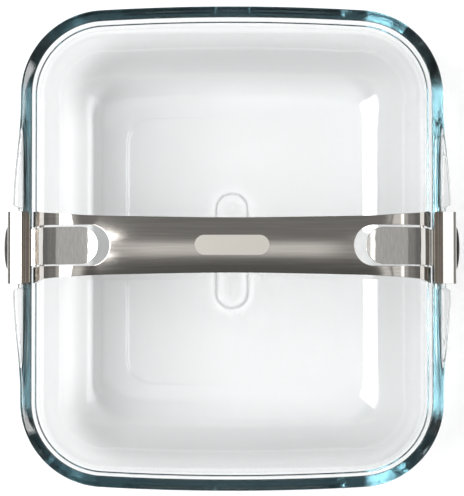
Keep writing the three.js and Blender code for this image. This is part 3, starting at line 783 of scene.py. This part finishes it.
def clip_path():
    """The clip's outer face from the tongue's tip down its leg, over the rim and round the hook."""
    drop = LEG_HEIGHT - SHELF_TOP - FOLD_RADIUS * (1 - sin(LEG_LEAN))
    leg_heading = LEG_LEAN - pi / 2
    path = SheetPath(TONGUE_TIP_TURN - TONGUE_SLOPE)
    path.arc(TONGUE_TIP_RADIUS, -TONGUE_TIP_TURN, 10).line(TONGUE_FLAT, 6)
    path.arc(TONGUE_CORNER, TONGUE_SLOPE + leg_heading, 24).line(TONGUE_LEG, 8).mark("pin")
    path.line(drop / cos(LEG_LEAN)).arc(FOLD_RADIUS, -leg_heading, 10).mark("shelf")
    path.line(SHELF_EDGE_GAP).mark("wide").line(SHELF_LENGTH - SHELF_EDGE_GAP, 3).mark("brow")
    path.arc(BROW_RADIUS, -BROW_TURN, 8).line(BROW_LENGTH, 3)
    path.arc(SHOULDER_RADIUS, BROW_TURN - pi / 2, 10).mark("wall")
    path.line(OUTER_WALL, 5).arc(HOOK_RADIUS, -HOOK_TURN, 18).line(LIP_LENGTH, 4)
    return path.place(path.marks["pin"], LEG_X, LEG_HEIGHT)


clip = clip_path()
clip_run = Run(clip.stations)
tongue_tip_x = clip.stations[0][0]
wall_x, wall_z, _ = clip.stations[clip.marks["wall"]]
bow = bow_path()
bow_half = Run(bow.stations)
bow_arch = bow_half.length[bow.marks["arch"]]
sheet_lines = np.arange(-SHEET_LINES_REACH, SHEET_LINES_REACH + SHEET_LINE_STEP / 2, SHEET_LINE_STEP)


def bow_half_width(along):
    """Half the bow's width, at a distance from its middle."""
    arch = lerp(BOW_WIDTH_MIDDLE, BOW_WIDTH_SHOULDER, smoothstep(along, 0, bow_arch))
    return lerp(arch, BOW_WIDTH_FOOT, smoothstep(along, BOW_FLARE_START, bow_half.length[-1])) / 2


def handle_bow():
    """The bow with a slot for each tongue and its four lugs, bent from a flat outline."""
    end = len(bow_half.x) - 1
    last = bow_half.length[-1]
    slot = TONGUE_WIDTH / 2 + SLOT_SIDE_GAP
    slot_tip = tongue_tip_x - SLOT_TIP_GAP
    round_end = bow_half.along_at_x(slot_tip + slot, end)
    arch_lines = np.linspace(0, round_end, BOW_ARCH_LINES)[:-1]
    lines = [*arch_lines, *np.linspace(round_end, last, BOW_END_LINES)]
    side = [(s, bow_half_width(s)) for s in lines if s < last - 2 * CORNER_EDGE]
    foot_half = bow_half_width(last)
    foot = rounded_corner(side[-1], (last, foot_half), (last, slot), CORNER_EDGE)
    foot += [(last, lerp(foot_half, slot, i / 6)) for i in range(2, 5)]
    foot += rounded_corner((last, foot_half), (last, slot), (0, slot), CORNER_EDGE)
    slot_side = [(s, slot) for s in reversed(lines) if round_end < s < last - 2 * CORNER_EDGE]
    slot_end = []
    for i in range(ROUND_END_STEPS):
        angle = pi / 2 * i / ROUND_END_STEPS
        x = slot_tip + slot * (1 - sin(angle))
        slot_end.append((bow_half.along_at_x(x, end), slot * cos(angle)))
    tip = (bow_half.along_at_x(slot_tip, end), 0)
    upper = side + foot + slot_side + slot_end
    right = upper + [tip] + [(s, -y) for s, y in reversed(upper)]
    left = [(-s, -y) for s, y in right]
    outline = right + left[1:-1]
    lines_u = [-s for s in lines[:0:-1]] + lines

    def place(s, y, depth):
        x, z, heading = bow_half.at(abs(s))
        crown = BOW_CROWN * (1 - smoothstep(abs(s), *CROWN_FADE))
        sunk = depth + crown * (y / bow_half_width(abs(s))) ** 2
        x += sunk * sin(heading)
        return (x if s >= 0 else -x), y, z - sunk * cos(heading)

    lugs = lug_pair(BOW_SHEET, BOW_LUG_WIDTH)
    far_lugs = [(half_turned(points), faces, uvs) for points, faces, uvs in lugs]
    sheet = sheet_part(outline, [], lines_u, sheet_lines, place, BOW_SHEET, SHEET_EDGE)
    return mesh_piece("bow_steel", *joined_parts([sheet, *lugs, *far_lugs]))


def clip_part():
    """The clip with its two lugs, bent from a flat outline: a round-tipped tongue and the wider hook."""
    lines = list(clip_run.length)
    last = lines[-1]
    wide = lines[clip.marks["wide"]]
    narrow_half = TONGUE_WIDTH / 2
    wide_half = CLIP_WIDTH / 2
    tongue_end = clip.marks["pin"]
    round_end = clip_run.along_at_x(tongue_tip_x + narrow_half, tongue_end)
    tip = []
    for i in range(1, ROUND_END_STEPS + 1):
        angle = pi / 2 * i / ROUND_END_STEPS
        x = tongue_tip_x + narrow_half * (1 - cos(angle))
        tip.append((clip_run.along_at_x(x, tongue_end), narrow_half * sin(angle)))
    fine = sorted({*lines, *np.arange(round_end, last, CLIP_LINE_STEP)})
    kept = [s for i, s in enumerate(fine) if i == 0 or s - fine[i - 1] > LEAST_STEP]
    margin = CORNER_MARGIN * CORNER_EDGE
    upper = tip + [(s, narrow_half) for s in kept if round_end < s < wide - CORNER_EDGE]
    upper += rounded_corner((0, narrow_half), (wide, narrow_half), (wide, wide_half), CORNER_EDGE / 2)
    upper += [(wide, lerp(narrow_half, wide_half, i / 10)) for i in range(2, 8)]
    upper += rounded_corner((wide, narrow_half), (wide, wide_half), (last, wide_half), CORNER_EDGE)
    upper += [(s, wide_half) for s in kept if wide + margin < s < last - margin]
    upper += rounded_corner((wide, wide_half), (last, wide_half), (last, 0), CORNER_EDGE)
    upper += [(last, wide_half * (1 - i / 16)) for i in range(2, 16)]
    outline = upper + [(last, 0)] + [(s, -y) for s, y in reversed(upper)] + [(0, 0)]

    def place(s, y, depth):
        x, z, heading = clip_run.at(s)
        return x + depth * sin(heading), y, z - depth * cos(heading)

    sheet = sheet_part(outline, [], kept, sheet_lines, place, CLIP_SHEET, SHEET_EDGE)
    return joined_parts([sheet, *lug_pair(CLIP_SHEET, CLIP_LUG_SPACING + CLIP_SHEET)])


def turned(profile, segments, place):
    """A body turned from points of axial place and radius, whose first and last radius are zero."""
    points = [place(profile[0][0], 0, 0)]
    faces = []
    rings = profile[1:-1]
    for axial, radius in rings:
        for j in range(segments):
            angle = 2 * pi * j / segments
            points.append(place(axial, radius * cos(angle), radius * sin(angle)))
    points.append(place(profile[-1][0], 0, 0))
    end = len(points) - 1
    for j in range(segments):
        following = (j + 1) % segments
        faces.append((0, 1 + following, 1 + j))
        faces.append((end, end - segments + j, end - segments + following))
        for i in range(len(rings) - 1):
            a = 1 + i * segments + j
            b = 1 + i * segments + following
            faces.append((a, b, b + segments, a + segments))
    return points, faces, [(0, 0)] * len(points)


def pin_part():
    """The hinge pin, with round edges at both ends."""
    half = BOW_LUG_WIDTH / 2
    edge = []
    for i in range(PIN_EDGE_STEPS + 1):
        angle = pi / 2 * i / PIN_EDGE_STEPS
        edge.append((half - PIN_CHAMFER * (1 - sin(angle)), PIN_RADIUS - PIN_CHAMFER * (1 - cos(angle))))
    profile = [(-half, 0)] + [(-axial, radius) for axial, radius in reversed(edge)] + edge + [(half, 0)]
    return turned(profile, PIN_SEGMENTS, lambda axial, a, b: (PIN_X + a, axial, PIN_HEIGHT + b))


def bumper_part():
    """The oval button in the clip's outer wall: a dome, a neck through the wall and a collar inside."""
    squeeze = BUMPER_HEIGHT / BUMPER_LENGTH
    inside = -CLIP_SHEET - SEAT_GAP
    back = inside - BUMPER_COLLAR_THICKNESS
    edge = BUMPER_COLLAR_THICKNESS / 2
    profile = [(back, 0), (back, BUMPER_COLLAR / 2 - edge), (back + edge, BUMPER_COLLAR / 2)]
    profile += [(inside, BUMPER_COLLAR / 2), (inside, BUMPER_NECK / 2), (SEAT_GAP, BUMPER_NECK / 2)]
    profile.append((SEAT_GAP, BUMPER_LENGTH / 2 - SEAT_GAP))
    for i in range(BUMPER_DOME_STEPS):
        angle = pi / 2 * i / BUMPER_DOME_STEPS
        profile.append((SEAT_GAP + BUMPER_DOME * sin(angle), BUMPER_LENGTH / 2 * cos(angle)))
    profile.append((SEAT_GAP + BUMPER_DOME, 0))
    middle = wall_z - OUTER_WALL / 2
    return turned(profile, BUMPER_SEGMENTS, lambda axial, a, b: (wall_x + axial, a, middle + squeeze * b))


def pad_part():
    """The strip between the clip's shelf and the rim."""
    low = clip.stations[clip.marks["shelf"]][0] + SHELF_EDGE_GAP
    middle = low + PAD_WIDTH / 2
    top = DISH_HEIGHT + SEAT_GAP + PAD_THICKNESS
    half_width = PAD_WIDTH / 2 - PAD_ROUND
    half_length = PAD_LENGTH / 2 - PAD_ROUND
    lines_v = np.linspace(-half_length, half_length, PAD_LINES)
    outline = []
    for sign_x, sign_y, start in ((1, 1, 0), (-1, 1, 1), (-1, -1, 2), (1, -1, 3)):
        for i in range(PAD_CORNER_STEPS + 1):
            angle = pi / 2 * (start + i / PAD_CORNER_STEPS)
            x = middle + sign_x * half_width + PAD_ROUND * cos(angle)
            outline.append((x, sign_y * half_length + PAD_ROUND * sin(angle)))
        if start % 2:
            side_x = middle + sign_x * (half_width + PAD_ROUND)
            outline += [(side_x, -sign_y * y) for y in lines_v[1:-1]]

    def place(u, v, depth):
        return u, v, top - depth

    return sheet_part(outline, [], (middle,), lines_v, place, PAD_THICKNESS, PAD_EDGE)


def spring_part():
    """The wire: an end through the pin, the curls round it and a leg up the tongue's back."""
    radius = PIN_RADIUS + SPRING_PIN_GAP + WIRE_RADIUS
    half = SPRING_LENGTH / 2

    def at(distance, angle, y):
        return Vector((PIN_X + distance * cos(angle), y, PIN_HEIGHT + distance * sin(angle)))

    through_pin = np.linspace(-PIN_RADIUS, PIN_RADIUS, WIRE_END_POINTS)
    route = [at(distance, pi, -half) for distance in through_pin]
    turn = 2 * pi * SPRING_TURNS + LEG_LEAN - pi
    steps = WIRE_STEPS_PER_TURN * SPRING_TURNS
    route += [at(radius, pi + turn * i / steps, -half + SPRING_LENGTH * i / steps) for i in range(steps + 1)]
    lean = LEG_TO_PIN - CLIP_SHEET - SEAT_GAP - WIRE_RADIUS - radius
    start = route[-1].copy()
    reach_x = lean * cos(LEG_LEAN) - SPRING_LEG * sin(LEG_LEAN)
    reach_z = lean * sin(LEG_LEAN) + SPRING_LEG * cos(LEG_LEAN)
    leg = Vector((reach_x, 0, reach_z))
    route += [start + leg * (i / WIRE_LEG_STEPS) for i in range(1, WIRE_LEG_STEPS + 1)]
    return wire_along(route, WIRE_RADIUS, WIRE_SIDES)


def wire_along(route, radius, sides):
    """A round wire along a route, with its sides turned as little as possible from step to step."""
    points, faces = [], []
    normal = Vector((0, 1, 0))
    for i, point in enumerate(route):
        tangent = (route[min(i + 1, len(route) - 1)] - route[max(i - 1, 0)]).normalized()
        normal = (normal - tangent * normal.dot(tangent)).normalized()
        across = tangent.cross(normal)
        for j in range(sides):
            angle = 2 * pi * j / sides
            points.append(tuple(point + normal * radius * cos(angle) + across * radius * sin(angle)))
    for i in range(len(route) - 1):
        for j in range(sides):
            a = i * sides + j
            b = i * sides + (j + 1) % sides
            faces.append((a, b, b + sides, a + sides))
    faces.append(tuple(range(sides - 1, -1, -1)))
    faces.append(tuple(range(len(points) - sides, len(points))))
    return points, faces, [(0, 0)] * len(points)


# Materials

class Graph:
    """Makes shader nodes from plain calls. A value may be a number or the output of another node."""

    def __init__(self, tree):
        self.nodes = tree.nodes
        self.links = tree.links

    def node(self, kind, **settings):
        made = self.nodes.new("ShaderNode" + kind)
        for name, value in settings.items():
            setattr(made, name, value)
        return made

    def give(self, node, values):
        """Sets or links a node's inputs, each under its name or number."""
        for name, value in values.items():
            if isinstance(value, bpy.types.NodeSocket):
                self.links.new(value, node.inputs[name])
            else:
                node.inputs[name].default_value = value

    def math(self, operation, *values):
        made = self.node("Math", operation=operation)
        self.give(made, dict(enumerate(values)))
        return made.outputs[0]

    def product(self, first, *others):
        for other in others:
            first = self.math("MULTIPLY", first, other)
        return first

    def ramp(self, value, low, high):
        """A smooth step from 0 at low to 1 at high, which may lie below low."""
        made = self.node("MapRange", interpolation_type="SMOOTHSTEP")
        self.give(made, {"Value": value, "From Min": low, "From Max": high})
        return made.outputs["Result"]

    def blend(self, share, a, b):
        """A value between a and b."""
        made = self.node("Mix", data_type="FLOAT")
        self.give(made, {0: share, 2: a, 3: b})
        return made.outputs[0]

    def blend_colours(self, share, a, b):
        made = self.node("Mix", data_type="RGBA")
        self.give(made, {0: share, 6: a, 7: b})
        return made.outputs[2]

    def split(self, vector):
        """The three parts of a vector."""
        made = self.node("SeparateXYZ")
        self.give(made, {0: vector})
        return made.outputs

    def past_box(self, x, y, half_x, half_y):
        """How far a place lies past a rectangle: along X, along Y and in all."""
        past = []
        for place, half in ((x, half_x), (y, half_y)):
            beyond = self.math("SUBTRACT", self.math("ABSOLUTE", place), MM * half)
            past.append(self.math("MAXIMUM", beyond, 0))
        squared = self.product(past[1], past[1])
        return (*past, self.math("SQRT", self.math("MULTIPLY_ADD", past[0], past[0], squared)))

    def noise(self, place, scale, detail=3):
        """Noise with a scale for each direction, in repeats per metre."""
        mapping = self.node("Mapping")
        self.give(mapping, {"Vector": place, "Scale": scale})
        made = self.node("TexNoise")
        self.give(made, {"Vector": mapping.outputs["Vector"], "Scale": 1})
        self.give(made, {"Detail": detail, "Roughness": NOISE_ROUGHNESS})
        return made.outputs[0]

    def bump(self, shader, height, distance):
        made = self.node("Bump")
        self.give(made, {"Strength": 1, "Distance": distance, "Height": height})
        self.give(shader, {"Normal": made.outputs["Normal"]})


def new_material(name):
    material = bpy.data.materials.new(name)
    material.use_nodes = True
    return material, Graph(material.node_tree), material.node_tree.nodes["Principled BSDF"]


def glass_material():
    """Clear pressed glass, tinted where light goes far through it, with faint waves that follow the rim."""
    material, graph, shader = new_material("clear_glass")
    place = graph.node("TexCoord").outputs
    streaks = graph.noise(place["UV"], GLASS_STREAKS)
    waves = graph.noise(place["Object"], GLASS_WAVES, detail=1)
    smears = graph.ramp(graph.noise(place["Object"], GLASS_SMEARS), *GLASS_SMEAR_RANGE)
    graph.give(shader, {
        "Base Color": WHITE,
        "IOR": GLASS_INDEX,
        "Transmission Weight": 1,
        "Roughness": graph.product(smears, GLASS_ROUGHNESS),
    })
    relief = graph.math("MULTIPLY_ADD", streaks, GLASS_STREAK_SHARE, waves)
    graph.bump(shader, relief, GLASS_WAVE_DEPTH)
    absorb = graph.node("VolumeAbsorption")
    graph.give(absorb, {"Color": GLASS_TINT, "Density": GLASS_DENSITY})
    graph.give(graph.nodes["Material Output"], {"Volume": absorb.outputs["Volume"]})
    return material


def brushed_material():
    """Steel brushed along the strip, with a blank matt lozenge etched in its middle."""
    material, graph, shader = new_material("brushed_bow")
    place = graph.node("TexCoord").outputs["UV"]
    fine = graph.noise(place, BRUSH_FINE)
    broad = graph.noise(place, BRUSH_BROAD)
    cloud = graph.noise(place, BRUSH_CLOUD, detail=2)
    streaks = graph.blend(BRUSH_BROAD_SHARE, fine, broad)
    along, across, _ = graph.split(place)
    reach = graph.past_box(along, across, (LOZENGE_LENGTH - LOZENGE_WIDTH) / 2, 0)[2]
    edge = MM * LOZENGE_WIDTH / 2
    lozenge = graph.ramp(reach, edge, edge - MM * LOZENGE_EDGE)
    steel = graph.blend_colours(graph.ramp(streaks, *TONE_RANGE), BRUSH_DARK, BRUSH_LIGHT)
    rough = graph.blend(graph.blend(0.5, streaks, cloud), *BRUSH_ROUGHNESS)
    tangent = graph.node("Tangent", direction_type="UV_MAP", uv_map="UVMap")
    graph.give(shader, {
        "Base Color": graph.blend_colours(lozenge, steel, LOZENGE_COLOUR),
        "Metallic": graph.blend(lozenge, 1, 1 - LOZENGE_MATT),
        "Roughness": graph.math("MULTIPLY_ADD", lozenge, LOZENGE_ROUGHNESS, rough),
        "Anisotropic": BRUSH_ANISOTROPY,
        "Anisotropic Rotation": BRUSH_QUARTER_TURN,
        "Tangent": tangent.outputs[0],
    })
    graph.bump(shader, fine, BRUSH_DEPTH)
    return material


def polished_material():
    """Polished sheet with fine scratches, waves left by bending and a painted dark reflection, streaked with
    lighter lines, on its shelf.
    """
    material, graph, shader = new_material("polished_clip")
    place = graph.node("TexCoord").outputs["UV"]
    scratches = graph.noise(place, POLISH_SCRATCHES)
    waves = graph.noise(place, POLISH_WAVES, detail=2)
    lines = graph.noise(place, SHELF_REFLECTION_LINES, detail=2)
    along = graph.split(place)[0]
    low, high = (MM * clip_run.length[clip.marks[name]] for name in ("shelf", "brow"))
    edge = MM * SHELF_FADE
    shelf = graph.product(graph.ramp(along, low, low + edge), graph.ramp(along, high + edge, high))
    tone = graph.blend_colours(graph.ramp(scratches, *TONE_RANGE), POLISH_DARK, POLISH_LIGHT)
    # The shelf's base colour is a painted dark reflection with lighter lines
    painted_shelf_reflection = graph.blend_colours(graph.ramp(lines, *SHELF_REFLECTION_LINE_RANGE), SHELF_PAINTED_DARK_REFLECTION, SHELF_PAINTED_LIGHT_REFLECTION)
    graph.give(shader, {
        "Base Color": graph.blend_colours(shelf, tone, painted_shelf_reflection),
        "Metallic": 1,
        "Roughness": graph.blend(graph.blend(0.5, scratches, waves), *POLISH_ROUGHNESS),
    })
    relief = graph.math("MULTIPLY_ADD", scratches, POLISH_SCRATCH_SHARE, waves)
    graph.bump(shader, relief, POLISH_WAVE_DEPTH)
    return material


def wire_material():
    """Drawn spring steel, satin, with faint marks."""
    material, graph, shader = new_material("spring_wire")
    marks = graph.noise(graph.node("TexCoord").outputs["Object"], WIRE_MARKS)
    graph.give(shader, {
        "Base Color": graph.blend_colours(graph.ramp(marks, *TONE_RANGE), WIRE_DARK, WIRE_LIGHT),
        "Metallic": 1,
        "Roughness": graph.blend(marks, *WIRE_ROUGHNESS),
    })
    graph.bump(shader, marks, WIRE_DEPTH)
    return material


def silicone_material():
    """Dark silicone with a fine moulded grain and a little dust."""
    material, graph, shader = new_material("dark_silicone")
    place = graph.node("TexCoord").outputs["Object"]
    grain = graph.noise(place, SILICONE_GRAIN)
    dust = graph.ramp(graph.noise(place, SILICONE_DUST, detail=4), *SILICONE_DUST_RANGE)
    graph.give(shader, {
        "Base Color": graph.blend_colours(dust, SILICONE_DARK, SILICONE_DUSTY),
        "Roughness": graph.blend(grain, *SILICONE_ROUGHNESS),
    })
    graph.bump(shader, grain, SILICONE_DEPTH)
    return material


glass = glass_material()
bow_steel = brushed_material()
clip_steel = polished_material()
wire_steel = wire_material()
silicone = silicone_material()


def dress(piece, material, body, node, slot):
    """Gives a piece its material, hides the imported solid that it stands for and, where a body is given,
    hangs it on that body.
    """
    piece.data.materials.append(material)
    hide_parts(node)
    if body:
        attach(piece, body)


dress(glass_dish(), glass, "dish", "glass_dish", "glass")
dress(handle_bow(), bow_steel, "dish", "handle_bow", "brushed_steel")
for side in ("right", "left"):
    for kind, part, material, body, node, slot in (
        ("clip", clip_part(), clip_steel, f"{side}_latch", "clip", "polished_steel"),
        ("pin", pin_part(), wire_steel, "dish", "hinge_pin", "spring_steel"),
        ("bumper", bumper_part(), silicone, f"{side}_latch", "bumper", "silicone"),
        ("pad", pad_part(), silicone, f"{side}_latch", "rim_pad", "silicone"),
        ("wire", spring_part(), wire_steel, None, "spring", "spring_steel"),
    ):
        points, faces, uvs = part
        if side == "left":
            points = half_turned(points)
        piece = mesh_piece(f"{side}_{kind}", points, faces, uvs)
        dress(piece, material, body, f"{side}_{node}", slot)
        if kind == "wire":
            ends = [(PIN_X, -SPRING_LENGTH / 2, PIN_HEIGHT), (PIN_X, SPRING_LENGTH / 2, PIN_HEIGHT)]
            if side == "left":
                ends = half_turned(ends)
            start, end = (tuple(MM * c for c in place) for place in ends)
            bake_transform(piece)
            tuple(start)
            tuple(end)


# Stage

def floor():
    """A white sheet whose glow is set by place: a painted shadow of the dish under the glass, darker towards
    the left, painted shade with a painted band of light by the left wall, and the base mark's painted shadow
    line and halo.
    """
    mesh = bpy.data.meshes.new("floor")
    size = FLOOR_SIZE * MM
    corners = [(-size, -size, 0), (size, -size, 0), (size, size, 0), (-size, size, 0)]
    mesh.from_pydata(corners, [], [(0, 1, 2, 3)])
    sheet = bpy.data.objects.new("floor", mesh)
    bpy.context.scene.collection.objects.link(sheet)
    sheet.location.z = -FLOOR_GAP * MM
    material, graph, shader = new_material("white_floor")
    rays = graph.node("LightPath").outputs
    seen = graph.math("MAXIMUM", rays["Is Camera Ray"], rays["Is Glossy Ray"])
    seen = graph.math("MAXIMUM", seen, rays["Is Transmission Ray"])
    x, y, _ = graph.split(graph.node("NewGeometry").outputs["Position"])
    along_x, along_y, past_base = graph.past_box(x, y, *(half - BASE_CORNER for half in BASE_HALF))
    both = graph.math("ADD", graph.math("ADD", along_x, along_y), NEAR_ZERO)
    fade = graph.blend(graph.math("DIVIDE", along_y, both), *(MM * width for width in BASE_FADE))
    beside = graph.ramp(past_base, graph.math("SUBTRACT", MM * BASE_CORNER, fade), MM * BASE_CORNER)
    # Painted shadow of the dish: a lower glow under its base, rising from left to right; beside it painted
    # shade, lit by a painted band of light near the left wall
    painted_shadow_under_base = graph.blend(graph.ramp(x, *FLOOR_PAINTED_SHADOW_RISE), *FLOOR_PAINTED_SHADOW_GLOW)
    painted_light_left = graph.product(
        graph.ramp(x, *FLOOR_PAINTED_LIGHT_LEFT),
        graph.ramp(x, *FLOOR_PAINTED_LIGHT_LEFT_END),
        graph.ramp(graph.math("ABSOLUTE", y), *FLOOR_PAINTED_LIGHT_ENDS),
    )
    glow = graph.blend(beside, painted_shadow_under_base, graph.blend(painted_light_left, *FLOOR_PAINTED_SHADE_AND_LIGHT_BESIDE))
    past_rim = graph.past_box(x, y, RIM_WIDTH / 2 - CORNER_RADIUS, RIM_LENGTH / 2 - CORNER_RADIUS)[2]
    clear = graph.ramp(past_rim, MM * (CORNER_RADIUS - FLOOR_GLOW_FADE), MM * CORNER_RADIUS)
    glow = graph.blend(clear, glow, FLOOR_GLOW_OUTSIDE)
    off_mark = graph.past_box(x, y, 0, (MARK_LENGTH - MARK_WIDTH) / 2)[2]
    off_mark = graph.math("ABSOLUTE", graph.math("SUBTRACT", off_mark, MM * MARK_WIDTH / 2))
    # Painted shadow line and painted halo of the base mark, set by the distance from its line
    painted_halo = graph.ramp(off_mark, MM * MARK_PAINTED_HALO_WIDTH, MM * MARK_SHADOW_WIDTH)
    glow = graph.math("MULTIPLY_ADD", painted_halo, MARK_PAINTED_HALO, glow)
    shade = graph.ramp(off_mark, MM * MARK_SHADOW_WIDTH, 0)
    glow = graph.math("MULTIPLY_ADD", shade, -MARK_SHADOW, glow)
    graph.give(shader, {
        "Base Color": (FLOOR_WHITE, FLOOR_WHITE, FLOOR_WHITE, 1),
        "Roughness": FLOOR_ROUGHNESS,
        "Specular IOR Level": 0,
        "Emission Color": WHITE,
        "Emission Strength": graph.product(seen, glow),
    })
    mesh.materials.append(material)
    sheet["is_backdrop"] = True


def studio():
    """A dim room with white panels round the part and a strip of light overhead; the camera sees white."""
    world = bpy.data.worlds.new("studio")
    bpy.context.scene.world = world
    world.use_nodes = True
    graph = Graph(world.node_tree)
    toward = graph.node("TexCoord").outputs["Generated"]
    x, y, z = graph.split(toward)
    elevation = graph.math("ARCSINE", z)
    level = graph.math("SUBTRACT", 1, graph.product(z, z))
    level = graph.math("SQRT", graph.math("MAXIMUM", level, NEAR_ZERO))
    clutter = graph.ramp(graph.noise(toward, ROOM_CLUTTER_SCALE), *ROOM_CLUTTER_RANGE)
    low_down = graph.product(graph.blend(clutter, *ROOM_CLUTTER), ROOM_LOW)
    light = graph.product(
        graph.blend(graph.ramp(y, *ROOM_DEPTH), ROOM_FRONT, ROOM_BACK),
        graph.blend(graph.ramp(elevation, *ROOM_RISE), low_down, 1),
        graph.ramp(z, *ROOM_HORIZON),
    )
    for azimuth, half_width, low, high, strength in PANELS:
        ahead = graph.product(x, cos(radians(azimuth)))
        ahead = graph.math("MULTIPLY_ADD", y, sin(radians(azimuth)), ahead)
        aside = graph.math("ARCCOSINE", graph.math("MINIMUM", graph.math("DIVIDE", ahead, level), 1))
        panel = graph.product(
            graph.ramp(aside, radians(half_width + PANEL_EDGE), radians(half_width - PANEL_EDGE)),
            graph.ramp(elevation, radians(low - PANEL_EDGE), radians(low + PANEL_EDGE)),
            graph.ramp(elevation, radians(high + PANEL_EDGE), radians(high - PANEL_EDGE)),
        )
        light = graph.math("MULTIPLY_ADD", panel, strength, light)
    steep = graph.math("MAXIMUM", z, LEAST_RISE)
    aside = graph.math("SUBTRACT", graph.math("DIVIDE", y, steep), STRIP_CENTRE)
    strip = graph.product(
        graph.ramp(graph.math("ABSOLUTE", aside), *STRIP_HALF_WIDTH),
        graph.ramp(graph.math("ABSOLUTE", graph.math("DIVIDE", x, steep)), *STRIP_HALF_LENGTH),
        graph.ramp(z, *STRIP_RISE),
    )
    light = graph.math("MULTIPLY_ADD", strip, STRIP_STRENGTH, light)
    light = graph.math("MAXIMUM", light, graph.node("LightPath").outputs["Is Camera Ray"])
    graph.give(graph.nodes["Background"], {"Color": WHITE, "Strength": light})


def camera():
    """A long lens nearly straight above, whose frame's height is a given length at the rim."""
    data = bpy.data.cameras.new("camera")
    view = bpy.data.objects.new("camera", data)
    bpy.context.scene.collection.objects.link(view)
    back = Vector((0, -cos(CAMERA_ELEVATION), sin(CAMERA_ELEVATION)))
    view.location = (Vector(CAMERA_AIM) + back * CAMERA_DISTANCE) * MM
    view.rotation_euler = (-back).to_track_quat("-Z", "Y").to_euler()
    data.sensor_width = CAMERA_SENSOR
    data.lens = data.sensor_width * CAMERA_DISTANCE / (FRAME_HEIGHT * MM_PER_PIXEL)
    bpy.context.scene.camera = view


floor()
studio()
camera()

scene = bpy.context.scene
scene.view_settings.view_transform = "Standard"
scene.cycles.max_bounces = GLASS_BOUNCES
scene.cycles.transmission_bounces = GLASS_BOUNCES
scene.cycles.glossy_bounces = GLOSSY_BOUNCES

boxes = {"cad": cad_box, "visual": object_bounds()}
{name: [list(corner) for corner in box] for name, box in boxes.items()}
